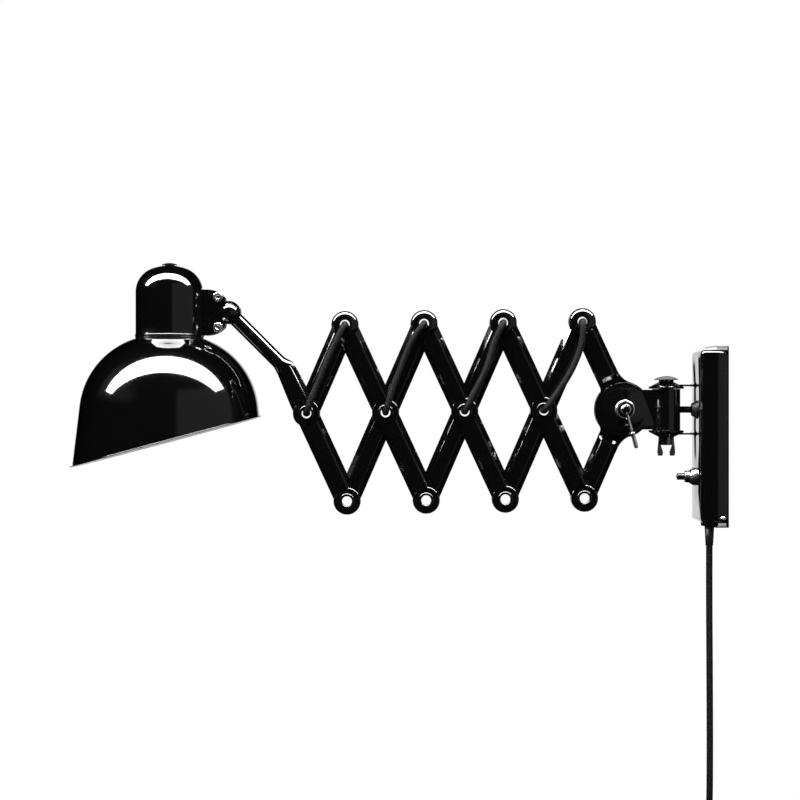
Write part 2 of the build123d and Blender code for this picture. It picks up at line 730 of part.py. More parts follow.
def switch_barrel():
    """Chrome barrel with a threaded neck through the face and a bore for the button."""
    place = Plane(origin=(COVER_FACE_X, 0, BARREL_Z), z_dir=(-1, 0, 0))
    bore = BUTTON_R + RUNNING
    ease = BARREL_CHAMFER
    return turned(
        place,
        Polyline((bore, -COVER_WALL), (bore, BARREL_LENGTH), (BARREL_TIP_R - ease, BARREL_LENGTH),
                 (BARREL_TIP_R, BARREL_LENGTH - ease), (BARREL_TIP_R + ease, 0.6 * BARREL_LENGTH)),
        ThreePointArc((BARREL_TIP_R + ease, 0.6 * BARREL_LENGTH),
                      (BARREL_R - 1.5 * ease, 0.42 * BARREL_LENGTH), (BARREL_R, 0.2 * BARREL_LENGTH)),
        Polyline((BARREL_R, 0.2 * BARREL_LENGTH), (BARREL_R, 0), (BARREL_THREAD_R, 0),
                 (BARREL_THREAD_R, -COVER_WALL), (bore, -COVER_WALL)),
    )


def switch_button():
    """Push button on a plunger that reaches into the switch."""
    place = Plane(origin=(COVER_FACE_X, 0, BARREL_Z), z_dir=(-1, 0, 0))
    tip = BARREL_LENGTH + BUTTON_PROUD
    inner = -COVER_WALL - PLUNGER_REACH
    return turned(
        place,
        Polyline((0, tip), (0, inner), (BUTTON_R, inner), (BUTTON_R, tip - BUTTON_RISE)),
        crown(BUTTON_R, tip - BUTTON_RISE, tip),
    )


def switch_body():
    """Switch housing behind the face, with room for the plunger's travel."""
    half = SWITCH_WIDTH / 2
    block = box_between((COVER_INSIDE_X, -half, BARREL_Z - half),
                        (COVER_INSIDE_X + SWITCH_DEPTH, half, BARREL_Z + half))
    depth = PLUNGER_REACH + BUTTON_TRAVEL + PLUNGER_ROOM
    pocket = Rot(0, 90, 0) * Cylinder(BUTTON_R + SEAT, 2 * depth)
    block = fillet(block.edges().filter_by(Axis.X), SWITCH_CORNER_R)
    return block - Pos(COVER_INSIDE_X, 0, BARREL_Z) * pocket


def terminal_block():
    """Three-way terminal block on the back plate."""
    low_z = COVER_HEIGHT / 2 - COVER_WALL - TERMINAL_FROM_TOP - TERMINAL_HEIGHT
    block = box_between((-PLATE_SHEET - TERMINAL_DEPTH, -TERMINAL_LENGTH / 2, low_z),
                        (-PLATE_SHEET, TERMINAL_LENGTH / 2, low_z + TERMINAL_HEIGHT))
    way = TERMINAL_LENGTH / 3
    for k in (-1, 0, 1):
        hole = Cylinder(TERMINAL_BORE_R, 2 * TERMINAL_HEIGHT)
        block -= Pos(-PLATE_SHEET - TERMINAL_DEPTH / 2, k * way, low_z) * hole
    return block


def cord_gland():
    """Gland under the cover with its nut inside."""
    place = Plane(origin=(GLAND_X, 0, -COVER_HEIGHT / 2), z_dir=(0, 0, -1))
    bore = CORD_R + RUNNING
    neck = GLAND_NECK_R
    nut = neck + GLAND_NUT
    inner = -COVER_WALL - GLAND_TAIL
    low = GLAND_HEIGHT - GLAND_EASE
    rim = GLAND_R - 0.8 * GLAND_EASE
    return turned(
        place,
        Polyline((bore, inner), (bore, GLAND_HEIGHT), (rim, GLAND_HEIGHT)),
        ThreePointArc((rim, GLAND_HEIGHT), (GLAND_R - 0.2 * GLAND_EASE, GLAND_HEIGHT - 0.3 * GLAND_EASE),
                      (GLAND_R, low)),
        Polyline((GLAND_R, low), (GLAND_R, 0), (neck, 0), (neck, -COVER_WALL), (nut, -COVER_WALL),
                 (nut, inner), (bore, inner)),
    )


save("flex_grommet", grommet())
save("switch_barrel", switch_barrel())
save("switch_button", switch_button())
save("switch_body", switch_body())
save("terminal_block", terminal_block())
save("cord_gland", cord_gland())


# Swivel bracket, bolt and wing nut

SWIVEL = Plane(origin=(SWIVEL_X, 0, SWIVEL_Z), x_dir=(1, 0, 0), z_dir=(0, 0, 1))


def bracket_ear():
    """Upper ear: a strap that runs into a dished disc round the swivel bolt."""
    flat = EAR_FLAT_HALF
    rim = EAR_RIM_HALF
    dish = turned(
        SWIVEL,
        Polyline((SWIVEL_BOLT_R + RUNNING, flat - EAR_SHEET), (EAR_FLAT_R, flat - EAR_SHEET),
                 (EAR_R, rim - EAR_SHEET), (EAR_R, rim), (EAR_FLAT_R, flat),
                 (SWIVEL_BOLT_R + RUNNING, flat), close=True),
    )
    middle = (EAR_R + EAR_FLAT_R) / 2
    half_w = EAR_WIDTH / 2
    z = SWIVEL_Z + EAR_STRAP_HALF
    strap = box_between((SWIVEL_X, -half_w, z - EAR_SHEET / 2),
                        (COVER_INSIDE_X, half_w, z + EAR_SHEET / 2))
    strap -= SWIVEL * Cylinder(middle, 4 * EAR_FLAT_HALF)
    bead_x = COVER_FACE_X - EAR_BEAD_R - SEAT
    bead = Pos(bead_x, 0, z) * Rot(90, 0, 0) * Cylinder(EAR_BEAD_R, EAR_WIDTH)
    return dish + strap + bead


def wall_bracket():
    """Plate behind the cover's face with two ears, on two pillars from the back plate."""
    half_w = BRACKET_WIDTH / 2
    half_h = BRACKET_HEIGHT / 2
    plate = box_between((COVER_INSIDE_X, -half_w, SWIVEL_Z - half_h),
                        (COVER_INSIDE_X + BRACKET_SHEET, half_w, SWIVEL_Z + half_h))
    plate -= through_x(COVER_INSIDE_X, 0, SWIVEL_Z, GROMMET_NECK_R + BRACKET_ROOM,
                       4 * BRACKET_SHEET)
    for side in (-1, 1):
        z = SWIVEL_Z + side * (half_h - 1.8 * PILLAR_R)
        plate += rod(Vector(COVER_INSIDE_X + BRACKET_SHEET, -side * 0.6 * half_w, z),
                     Vector(-PLATE_SHEET, -side * 0.6 * half_w, z), PILLAR_R)
    ear = bracket_ear()
    return plate + ear + mirror(ear, about=Plane.XY.offset(SWIVEL_Z))


def swivel_bolt():
    """Swivel bolt with a domed head on a collar."""
    head = EAR_FLAT_HALF + BOLT_COLLAR_HEIGHT
    top = head + BOLT_HEAD_HEIGHT
    rim = head + BOLT_HEAD_CHAMFER
    foot = -EAR_FLAT_HALF - WING_NOTCH + BOLT_FOOT_INSET
    return turned(
        SWIVEL,
        Polyline((0, top), (0, foot), (SWIVEL_BOLT_R, foot), (SWIVEL_BOLT_R, EAR_FLAT_HALF),
                 (BOLT_COLLAR_R, EAR_FLAT_HALF), (BOLT_COLLAR_R, head),
                 (BOLT_HEAD_R - BOLT_HEAD_CHAMFER, head), (BOLT_HEAD_R, rim)),
        crown(BOLT_HEAD_R, rim, top),
    )


def wing_nut():
    """Wing nut whose two wings hang down in a V."""
    place = Plane(origin=(SWIVEL_X, 0, SWIVEL_Z - EAR_FLAT_HALF - RUNNING), z_dir=(0, 0, -1))
    boss = turned(
        place,
        Polyline((SWIVEL_BOLT_R + RUNNING, 0), (WING_BOSS_R, 0),
                 (WING_BOSS_R - WING_BOSS_DRAFT, WING_NOTCH),
                 (SWIVEL_BOLT_R + RUNNING, WING_NOTCH), close=True),
    )
    inner = WING_TIP - WING_TIP_WIDTH
    ease = WING_EASE
    wing = Polygon(
        (SWIVEL_BOLT_R + 1.5 * ease, ease),
        (WING_BOSS_R - ease / 2, ease),
        (WING_BOSS_R, 0.5 * WING_NOTCH),
        (WING_TIP, 0.8 * WING_REACH),
        (WING_TIP - ease, WING_REACH),
        (inner + ease, WING_REACH),
        (inner + ease / 4, 0.8 * WING_REACH),
        (SWIVEL_BOLT_R + ease, WING_NOTCH + ease),
        align=None,
    )
    wing = fillet(wing.vertices().group_by(Axis.Y)[-1], WING_CORNER_R)
    blade = extrude(wing, WING_THICKNESS / 2, both=True)
    placed = Plane(origin=place.origin, x_dir=(1, 0, 0), z_dir=(0, 1, 0)) * blade
    return boss + placed + mirror(placed, about=Plane.YZ.offset(SWIVEL_X))


save("wall_bracket", wall_bracket())
save("swivel_bolt", swivel_bolt())
save("wing_nut", wing_nut())


# Knuckle and hub

def hub_ear(side):
    """Ear of the hub on one side: flat edge, raised middle and the strap to the knuckle."""
    place = Plane(origin=HUB, x_dir=(1, 0, 0), z_dir=(0, side, 0))
    inner = HUB_EAR_INNER
    outer = HUB_EAR_OUTER
    ease = STRAP_SHEET * 0.6
    disc = turned(
        place,
        Polyline((HUB_BOLT_R + RUNNING, inner + HUB_STEP), (HUB_STEP_R - ease, inner + HUB_STEP),
                 (HUB_STEP_BASE_R - ease, inner), (HUB_EAR_R, inner), (HUB_EAR_R, outer),
                 (HUB_STEP_BASE_R, outer), (HUB_STEP_R, outer + HUB_STEP),
                 (HUB_BOLT_R + RUNNING, outer + HUB_STEP), close=True),
    )
    low_y, high_y = sorted((side * inner, side * outer))
    strap = box_between((HUB_X, low_y, SWIVEL_Z - STRAP_HALF),
                        (SWIVEL_X, high_y, SWIVEL_Z + STRAP_HALF))
    strap -= place * Cylinder(HUB_EAR_R - STRAP_SHEET / 2, 8 * HUB_EAR_OUTER)
    return disc + strap


def knuckle():
    """Barrel on the swivel bolt with the hub's two ears."""
    collar_half = EAR_FLAT_HALF - EAR_SHEET - SEAT
    collars = Cylinder(KNUCKLE_COLLAR_R, 2 * collar_half)
    barrel = SWIVEL * (Cylinder(KNUCKLE_R, 2 * KNUCKLE_HALF) + collars)
    body = barrel + hub_ear(-1) + hub_ear(1)
    return body - SWIVEL * Cylinder(SWIVEL_BOLT_R + RUNNING, 4 * EAR_FLAT_HALF)


SPRING_BASE = HUB_STEP_FACE + SPRING_SEAT_SHEET
SPRING_END = SPRING_BASE + SPRING_LENGTH
BOLT_TIP = SPRING_END + SPRING_SEAT_SHEET + LEVER_EYE_HEIGHT + HUB_BOLT_PROUD


def hub_bolt():
    """Hub bolt with its rear domed cap, and the two washers that the spring sits between."""
    shaft = rod(HUB + Vector(0, HUB_STEP_FACE, 0), HUB - Vector(0, BOLT_TIP, 0), HUB_BOLT_R)
    rear = Plane(origin=HUB, x_dir=(1, 0, 0), z_dir=(0, 1, 0))
    low = HUB_STEP_FACE
    high = low + HUB_CAP_HEIGHT
    ease = HUB_CAP_EASE
    rim = (HUB_CAP_R - ease, high - 0.6 * ease)
    side = (HUB_CAP_R, high - 1.6 * ease)
    dome = turned(
        rear,
        Polyline((0, high), (0, low), (HUB_CAP_R, low), side),
        ThreePointArc(side, (HUB_CAP_R - 0.3 * ease, high - ease), rim),
        crown(*rim, high),
    )
    bore = HUB_BOLT_R + RUNNING
    seat = ring(front(HUB), SPRING_SEAT_R, bore, HUB_STEP_FACE, SPRING_BASE)
    keeper = ring(front(HUB), SPRING_KEEPER_R, bore, SPRING_END, SPRING_END + SPRING_SEAT_SHEET)
    return shaft + dome, seat, keeper


def hub_bushes():
    """Bushes on the hub bolt that keep the two links and the ears apart."""
    bore = HUB_BOLT_R + RUNNING
    front_disc = -FRONT_EDGE_Y + LINK_SHEET
    rear_disc = -REAR_EDGE_Y + LINK_SHEET
    spans = [
        (front_disc + RUNNING, HUB_EAR_INNER + HUB_STEP - RUNNING),
        (rear_disc + RUNNING, -FRONT_EDGE_Y - RUNNING),
        (-HUB_EAR_INNER - HUB_STEP + RUNNING, -REAR_EDGE_Y - RUNNING),
    ]
    return [ring(front(HUB), HUB_BUSH_R, bore, low, high) for low, high in spans]


def hub_spring():
    """Compression spring of the hub clamp, one helix whose ends run straight into its seats."""
    mean_r = SPRING_R - SPRING_WIRE_R
    tail = 2 * SPRING_WIRE_R
    bend = 1.5 * SPRING_WIRE_R
    rise = SPRING_LENGTH - 2 * tail - 2 * bend
    last = 360 * SPRING_TURNS

    def on_helix(angle):
        height = SPRING_BASE + tail + bend + rise * angle / last
        around = math.radians(angle)
        return HUB + Vector(mean_r * math.cos(around), -height, mean_r * math.sin(around))

    coils, points, ways = wound(on_helix, 0, last, 90)
    outwards = Vector(0, -1, 0)
    foot = points[0] - (ways[0] + outwards) * bend
    head = points[-1] + (ways[-1] + outwards) * bend
    edges = [
        Line(Vector(foot.X, -SPRING_BASE, foot.Z), foot),
        *biarc(foot, outwards, points[0], ways[0]),
        *coils,
        *biarc(points[-1], ways[-1], head, outwards),
        Line(head, Vector(head.X, -SPRING_END, head.Z)),
    ]
    return wound_body("hub_spring", edges, SPRING_WIRE_R, 2 * math.pi * mean_r)


def clamp_lever():
    """Small lever: an eye on the bolt, a rod with a collar and a grip."""
    low = SPRING_END + SPRING_SEAT_SHEET + RUNNING
    eye = ring(front(HUB), LEVER_EYE_R, HUB_BOLT_R + RUNNING, low, low + LEVER_EYE_HEIGHT)
    down = -heading(LEVER_LEAN)
    root = HUB + Vector(0, -low - LEVER_EYE_HEIGHT / 2, 0)
    collar_end = LEVER_COLLAR_AT + LEVER_COLLAR_HEIGHT
    eye_middle_r = (HUB_BOLT_R + LEVER_EYE_R) / 2
    stem = rod(root + down * eye_middle_r, root + down * LEVER_REACH, LEVER_ROD_R)
    collar = rod(root + down * LEVER_COLLAR_AT, root + down * collar_end, LEVER_COLLAR_R)
    grip = rod(root + down * collar_end, root + down * LEVER_REACH, LEVER_GRIP_R)
    return eye + stem + collar + grip


save("knuckle", knuckle())
save("hub_bolt", *hub_bolt())
save("hub_bushes", *hub_bushes())
save("hub_spring", hub_spring())
save("clamp_lever", clamp_lever())

flex_start = COVER_FACE_X - GROMMET_PROUD
route = [
    spot(flex_start, SWIVEL_Z),
    spot(-42.0, SWIVEL_Z, 2.5),
    spot(-46.5, SWIVEL_Z, 10.0 + FLEX_R),
    spot(-58.0, SWIVEL_Z, 20.0),
    spot(-70.0, SWIVEL_Z, 21.5),
    spot(-82.0, SWIVEL_Z, FLEX_CAP_Y),
    spot(HUB_X + HUB_CAP_R + SEAT / 2, HUB_Z, FLEX_CAP_Y + 0.2),
]
save("wall_flex", laid_cord("wall_flex", route, FLEX_R))


# Long arm's tube and the ball joint

ARM_WAY = (MID[1] - LOW[1]).normalized()
ELBOW = MID[1] + ARM_WAY * ELBOW_RUN
TUBE_WAY = heading(TUBE_ANGLE)
BALL = ELBOW + TUBE_WAY * TUBE_RUN
BALL_CENTRE = BALL + Vector(0, HEAD_Y, 0)


def arm_tube():
    """Bent tube with the fairing where it widens into the arm's channel."""
    shift = Vector(0, HEAD_Y, 0)
    mouth = MID[1] + ARM_WAY * TUBE_MOUTH + shift
    elbow = ELBOW + shift
    end = BALL_CENTRE - TUBE_WAY * (JOINT_BOSS_R + SEAT)
    path = FilletPolyline(mouth, elbow, end, radius=TUBE_BEND_R)
    section = Plane(origin=path @ 0, z_dir=path % 0)
    outer = sweep(section * Circle(TUBE_R), path=path)
    inner = sweep(section * Circle(TUBE_BORE_R), path=path)
    wide_y = FRONT_WEB_Y + FAIRING_THICKNESS + FAIRING_LIFT
    wide = Plane(origin=ELBOW + Vector(0, wide_y, 0), x_dir=(0, 1, 0), z_dir=TUBE_WAY)
    narrow = Plane(origin=elbow + TUBE_WAY * FAIRING_LENGTH, x_dir=(0, 1, 0), z_dir=TUBE_WAY)
    fairing = loft([wide * Ellipse(FAIRING_THICKNESS, ARM_END_HALF_WIDTH), narrow * Circle(TUBE_R)])
    reach = LOW[1] + ARM_WAY * (HALF_LINK + ARM_END_ALONG)
    fairing -= front(reach) * Cylinder(ARM_END_R + RUNNING, 8 * CHANNEL_DEPTH)
    slant = Plane(origin=mouth + ARM_WAY * MOUTH_TRIM, z_dir=Vector(0, MOUTH_SLANT, 0) - ARM_WAY)
    trim = slant * Box(CUTTER, CUTTER, CUTTER / 2, align=(Align.CENTER, Align.CENTER, Align.MIN))
    liner = rod(end - TUBE_WAY * (STEM_LENGTH - JOINT_BOSS_R), end, TUBE_BORE_R)
    liner -= rod(end - TUBE_WAY * STEM_LENGTH, end + TUBE_WAY, STEM_R + RUNNING)
    return outer + fairing - inner + liner - trim


def ball():
    """Ball with a hollow stem in the tube and a collar that closes the tube's end."""
    place = Plane(origin=BALL_CENTRE, z_dir=-TUBE_WAY)
    sphere = place * Sphere(BALL_R)
    stem = place * Cylinder(STEM_R, STEM_LENGTH, align=(Align.CENTER, Align.CENTER, Align.MIN))
    collar_end = JOINT_BOSS_R + SEAT - RUNNING
    collar = place * Cylinder(TUBE_R, collar_end, align=(Align.CENTER, Align.CENTER, Align.MIN))
    collar -= front(BALL_CENTRE) * Cylinder(JOINT_BOSS_R + SEAT / 2, 4 * BALL_R)
    bore = place * Cylinder(STEM_BORE_R, 4 * STEM_LENGTH)
    funnel = place * Pos(0, 0, -BALL_R) * Cone(BALL_R * 0.62, STEM_BORE_R, BALL_R * 0.8)
    return sphere + stem + collar - bore - funnel


save("arm_tube", arm_tube())
save("ball", ball())

stem_end = BALL_CENTRE - TUBE_WAY * 3
route = [
    MID[1],
    MID[1] + Vector(0, FLEX_BACK_TURN, 0),
    MID[1] + ARM_WAY * 17 + Vector(0, FLEX_BACK, 0),
    MID[1] + ARM_WAY * 31 + Vector(0, FLEX_BACK - 2.2, 0),
    MID[1] + ARM_WAY * 44 + Vector(0, 4.8, 0),
    ELBOW + ARM_WAY * 2 + Vector(0, HEAD_Y, 0),
    ELBOW + TUBE_WAY * 16 + Vector(0, HEAD_Y, 0),
    stem_end,
]
save("arm_flex", laid_cord("arm_flex", route, FLEX_R))


# Clamp plates and screws

HEAD = front(BALL_CENTRE)
SCREW_SPOTS = [(-CLAMP_LOBE_X, CLAMP_LOBE_Z), (-CLAMP_LOBE_X, -CLAMP_LOBE_Z)]


def clamp_plate():
    """Front clamp plate with its bulged seat on the ball, in the head's own plane."""
    tongue = Rectangle(CLAMP_INNER_END - CLAMP_LOBE_X, 2 * CLAMP_HALF_HEIGHT,
                       align=(Align.MIN, Align.CENTER))
    blank = Pos(-CLAMP_INNER_END, 0) * tongue
    reach = CLAMP_LOBE_X + CLAMP_LOBE_R
    blank += Pos(-reach, 0) * Rectangle(2 * CLAMP_LOBE_R, 2 * CLAMP_LOBE_Z,
                                        align=(Align.MIN, Align.CENTER))
    for x, z in SCREW_SPOTS:
        blank += Pos(x, z) * Circle(CLAMP_LOBE_R)
    blank += Circle(JOINT_BOSS_R)
    plate = Pos(0, 0, CLAMP_GAP / 2) * extrude(blank, CLAMP_SHEET)
    for x, z in SCREW_SPOTS:
        plate -= Pos(x, z, 0) * Cylinder(CLAMP_SCREW_R + RUNNING, 4 * CLAMP_GAP)
    seat_r = BALL_R + RUNNING
    bulge = Sphere(seat_r + CLAMP_SHEET)
    bulge -= Pos(0, 0, CLAMP_GAP / 2) * Box(CUTTER, CUTTER, CUTTER,
                                           align=(Align.CENTER, Align.CENTER, Align.MAX))
    return plate + bulge - Sphere(seat_r)


def clamp_screw(x, z):
    """Socket head screw through both plates with its nut behind."""
    face = CLAMP_GAP / 2 + CLAMP_SHEET
    place = HEAD * Pos(x, z, 0)
    head = Pos(0, 0, face) * Cylinder(CLAMP_HEAD_R, CLAMP_HEAD_HEIGHT,
                                      align=(Align.CENTER, Align.CENTER, Align.MIN))
    head = fillet(head.edges().sort_by(Axis.Z)[-1], CLAMP_HEAD_EASE)
    hexagon = extrude(RegularPolygon(CLAMP_SOCKET_R, 6), CLAMP_HEAD_HEIGHT)
    socket = Pos(0, 0, face + CLAMP_SOCKET_FLOOR) * hexagon
    shank = Cylinder(CLAMP_SCREW_R, 2 * (face + CLAMP_SHANK_PROUD))
    nut = Pos(0, 0, -face) * extrude(RegularPolygon(CLAMP_NUT_R, 6), -CLAMP_NUT_HEIGHT)
    return place * (head - socket + shank + nut)


save("clamp_plate_front", HEAD * clamp_plate())
save("clamp_plate_rear", mirror(HEAD * clamp_plate(), about=Plane.XZ.offset(-HEAD_Y)))
save("clamp_screws", *[clamp_screw(x, z) for x, z in SCREW_SPOTS])


# Dome, knob and lampholder, all about the head's upright axis

AXIS = Plane(origin=BALL_CENTRE - Vector(DOME_OFFSET, 0, 0), x_dir=(1, 0, 0), z_dir=(0, 0, 1))


def dome_outline(inset):
    """Half outline of the dome, from its top down to its base."""
    crown_r = DOME_CROWN_R - inset
    shoulder_r = DOME_SHOULDER_R - inset
    crown_z = DOME_TOP - DOME_CROWN_R
    shoulder_x = DOME_R - DOME_SHOULDER_R
    lean = math.atan2(DOME_SPRING_LINE - crown_z, shoulder_x)
    knee = (crown_r * math.cos(lean), crown_z + crown_r * math.sin(lean))
    half_lean = (lean + math.pi / 2) / 2
    crown_mid = (crown_r * math.cos(half_lean), crown_z + crown_r * math.sin(half_lean))
    shoulder_mid = (shoulder_x + shoulder_r * math.cos(lean / 2),
                    DOME_SPRING_LINE + shoulder_r * math.sin(lean / 2))
    side = shoulder_x + shoulder_r
    return [
        ThreePointArc((0, crown_z + crown_r), crown_mid, knee),
        ThreePointArc(knee, shoulder_mid, (side, DOME_SPRING_LINE)),
        Polyline((side, DOME_SPRING_LINE), (side, DOME_BASE), (0, DOME_BASE), (0, crown_z + crown_r)),
    ]


def dome_housing():
    """Domed housing with a bead at its foot and a slot for the clamp plates."""
    shell = turned(AXIS, *dome_outline(0))
    bead = ring(AXIS, DOME_R + BEAD_PROUD, DOME_R - DOME_WALL, DOME_BASE, DOME_BASE + BEAD_HEIGHT)
    bead = fillet(bead.edges().filter_by(GeomType.CIRCLE).group_by(SortBy.RADIUS)[-1], BEAD_EASE)
    shell = shell + bead - turned(AXIS, *dome_outline(DOME_WALL))
    shell -= AXIS * Cylinder(NIPPLE_R + RUNNING, 4 * DOME_TOP)
    outer = CLAMP_GAP / 2 + CLAMP_SHEET + SEAT
    slot = box_between((0, -outer, DOME_BASE - 1),
                       (2 * DOME_R, outer, CLAMP_HALF_HEIGHT + SEAT))
    return shell - AXIS * slot


def dome_knob():
    """Low knob on the dome's top, on the nipple that the lampholder hangs from."""
    low = DOME_TOP + RUNNING
    top = low + KNOB_HEIGHT
    return turned(
        AXIS,
        Polyline((0, top), (0, HOLDER_TOP + RUNNING), (NIPPLE_R, HOLDER_TOP + RUNNING), (NIPPLE_R, low),
                 (KNOB_R, low), (KNOB_R, low + KNOB_RIM)),
        crown(KNOB_R, low + KNOB_RIM, top),
    )


def lampholder():
    """Lampholder with a flange on the shade's top and an open socket below."""
    socket = HOLDER_SOCKET_R
    return turned(
        AXIS,
        Polyline((0, HOLDER_TOP), (0, HOLDER_SOCKET_TOP), (socket, HOLDER_SOCKET_TOP),
                 (socket, HOLDER_MOUTH), (HOLDER_R, HOLDER_MOUTH), (HOLDER_R, SHADE_TOP),
                 (HOLDER_FLANGE_R, SHADE_TOP), (HOLDER_FLANGE_R, DOME_BASE), (HOLDER_R, DOME_BASE),
                 (HOLDER_R, HOLDER_TOP - HOLDER_TAPER_HEIGHT), (HOLDER_R - HOLDER_TAPER, HOLDER_TOP),
                 close=True),
    )


def shade_profile(inset, floor):
    """Outline of the shade's body of revolution, one arc that runs into a straight flank."""
    slope = math.radians(SHADE_SLOPE)
    rise = SHADE_ARC_R * math.sin(slope) + SHADE_ARC_DROP
    centre_x = SHADE_TOP_R - math.sqrt(SHADE_ARC_R**2 - rise**2)
    arc_r = SHADE_ARC_R - inset
    centre_z = SHADE_TOP - rise
    top = SHADE_TOP - inset
    start = (centre_x + math.sqrt(arc_r**2 - (top - centre_z)**2), top)
    knee = (centre_x + arc_r * math.cos(slope), centre_z + arc_r * math.sin(slope))
    middle_angle = (slope + math.atan2(start[1] - centre_z, start[0] - centre_x)) / 2
    middle = (centre_x + arc_r * math.cos(middle_angle), centre_z + arc_r * math.sin(middle_angle))
    foot = (knee[0] + (knee[1] - floor) * math.tan(slope), floor)
    return [
        ThreePointArc(start, middle, knee),
        Polyline(knee, foot, (0, floor), (0, top), start),
    ]


def below_rim(drop):
    """Everything under the slanted plane of the shade's rim, lowered by a drop."""
    centre = AXIS.origin + Vector(0, 0, RIM_CENTRE - drop)
    tilted = Plane(origin=centre, x_dir=heading(90 + RIM_ANGLE), z_dir=heading(RIM_ANGLE))
    width = 4 * SHADE_ARC_R
    return tilted * Box(width, width, width / 2, align=(Align.CENTER, Align.CENTER, Align.MAX))


def shade():
    """Spun shade cut off by a slanted plane, with a small lip along its rim."""
    floor = RIM_CENTRE - SHADE_SPARE
    body = turned(AXIS, *shade_profile(0, floor)) - below_rim(0)
    lip = turned(AXIS, *shade_profile(-RIM_LIP, floor)) & (below_rim(-RIM_LIP_HEIGHT) - below_rim(0))
    hollow = turned(AXIS, *shade_profile(SHADE_WALL, floor))
    neck_hole = AXIS * Cylinder(HOLDER_R + RUNNING, 8 * DOME_TOP)
    return body + lip - hollow - neck_hole


def shade_ring():
    """Ring nut under the shade's top."""
    top = SHADE_TOP - SHADE_WALL - RUNNING
    nut = ring(AXIS, RING_R, HOLDER_R + RUNNING, top - RING_HEIGHT, top)
    middle = top - RING_HEIGHT / 2
    cutter = Pos(RING_R + RING_NOTCH_OUT, 0, middle) * Cylinder(RING_NOTCH_R, 2 * RING_HEIGHT)
    for k in range(RING_NOTCHES):
        nut -= AXIS * Rot(0, 0, 360 * k / RING_NOTCHES) * cutter
    return nut


def bulb():
    """Frosted bulb with its screw base in the lampholder."""
    neck_z = HOLDER_MOUTH - BULB_NECK_DROP
    touch = math.radians(BULB_TOUCH)
    joint = (BULB_R * math.cos(touch), BULB_CENTRE + BULB_R * math.sin(touch))
    low_mid = (BULB_R * math.cos(-touch), BULB_CENTRE - BULB_R * math.sin(touch))
    base_top = HOLDER_SOCKET_TOP - BULB_BASE_GAP
    return turned(
        AXIS,
        ThreePointArc((0, BULB_CENTRE - BULB_R), low_mid, joint),
        Polyline(joint, (BULB_NECK_R, neck_z), (BULB_BASE_R, HOLDER_MOUTH),
                 (BULB_BASE_R, base_top - BULB_BASE_TAPER), (BULB_CONTACT_R, base_top), (0, base_top),
                 (0, BULB_CENTRE - BULB_R)),
    )


save("dome_housing", dome_housing())
save("dome_knob", dome_knob())
save("lampholder", lampholder())
save("shade", shade())
save("shade_ring", shade_ring())
save("bulb", bulb())

holder_side = AXIS.origin + Vector(HOLDER_R + RUNNING, 0, 4.2)
route = [
    BALL_CENTRE - Vector(BALL_R + 1.2, 0, 0),
    BALL_CENTRE + Vector(-18.5, 0, 0.4),
    BALL_CENTRE + Vector(-27.0, 0, 3.6),
    BALL_CENTRE + Vector(-36.0, 0, 4.2),
    holder_side,
]
save("head_flex", laid_cord("head_flex", route, FLEX_R))


# Mains cord, its coil, tie and plug

CORD_TOP = -COVER_HEIGHT / 2 - GLAND_HEIGHT
COIL_X = GLAND_X + COIL_PITCH / 2
COIL_CENTRE = Vector(COIL_X, 0, COIL_TOP_Z - COIL_DROP)
TIE_ANGLE = math.degrees(math.acos(COIL_OUTER_R / COIL_DROP))


def on_coil(angle):
    """Point of the coil's middle line: it spirals in, climbs a layer and spirals out again."""
    middle = 180 * COIL_TURNS
    from_middle = angle - middle
    radius = COIL_OUTER_R - COIL_PITCH * (middle - abs(from_middle)) / 360
    climb = max(-1.0, min(1.0, from_middle / 90))
    around = math.radians(TIE_ANGLE + angle)
    return COIL_CENTRE + Vector(climb * COIL_PITCH / 2, radius * math.sin(around),
                                radius * math.cos(around))


coil_edges, coil_points, coil_ways = wound(on_coil, 0, 360 * COIL_TURNS, 90)
DOWN = Vector(0, 0, -1)
lead_start = coil_points[0] - coil_ways[0] * COIL_LEAD
cord_bend = coil_points[0] - coil_ways[0] * (coil_points[0].Y / coil_ways[0].Y)
loose_end = coil_points[-1] + coil_ways[-1] * COIL_TAIL
half_turn = math.radians(coil_ways[-1].get_angle(DOWN) / 2)
over_plug = loose_end + (coil_ways[-1] + DOWN) * (COIL_TAIL_BEND_R * math.tan(half_turn))
PLUG_TOP = over_plug + DOWN * (3 * CORD_R)
coil_edges = [
    Line(lead_start, coil_points[0]),
    *coil_edges,
    Line(coil_points[-1], loose_end),
    TangentArc(loose_end, over_plug, tangent=coil_ways[-1]),
    Line(over_plug, PLUG_TOP),
]
coil_turn = 2 * math.pi * (COIL_OUTER_R - COIL_TURNS * COIL_PITCH / 4)
save("cord_coil", wound_body("cord_coil", coil_edges, CORD_R, coil_turn))

# The cord hangs almost straight from the gland to the turn above the coil.
route = [
    spot(GLAND_X, CORD_TOP),
    spot(GLAND_X - 0.3, -160.0),
    spot(GLAND_X + 0.3, -255.0),
    spot(GLAND_X + 0.6, -346.0),
    cord_bend,
    lead_start,
]
save("mains_cord", laid_cord("mains_cord", route, CORD_R))


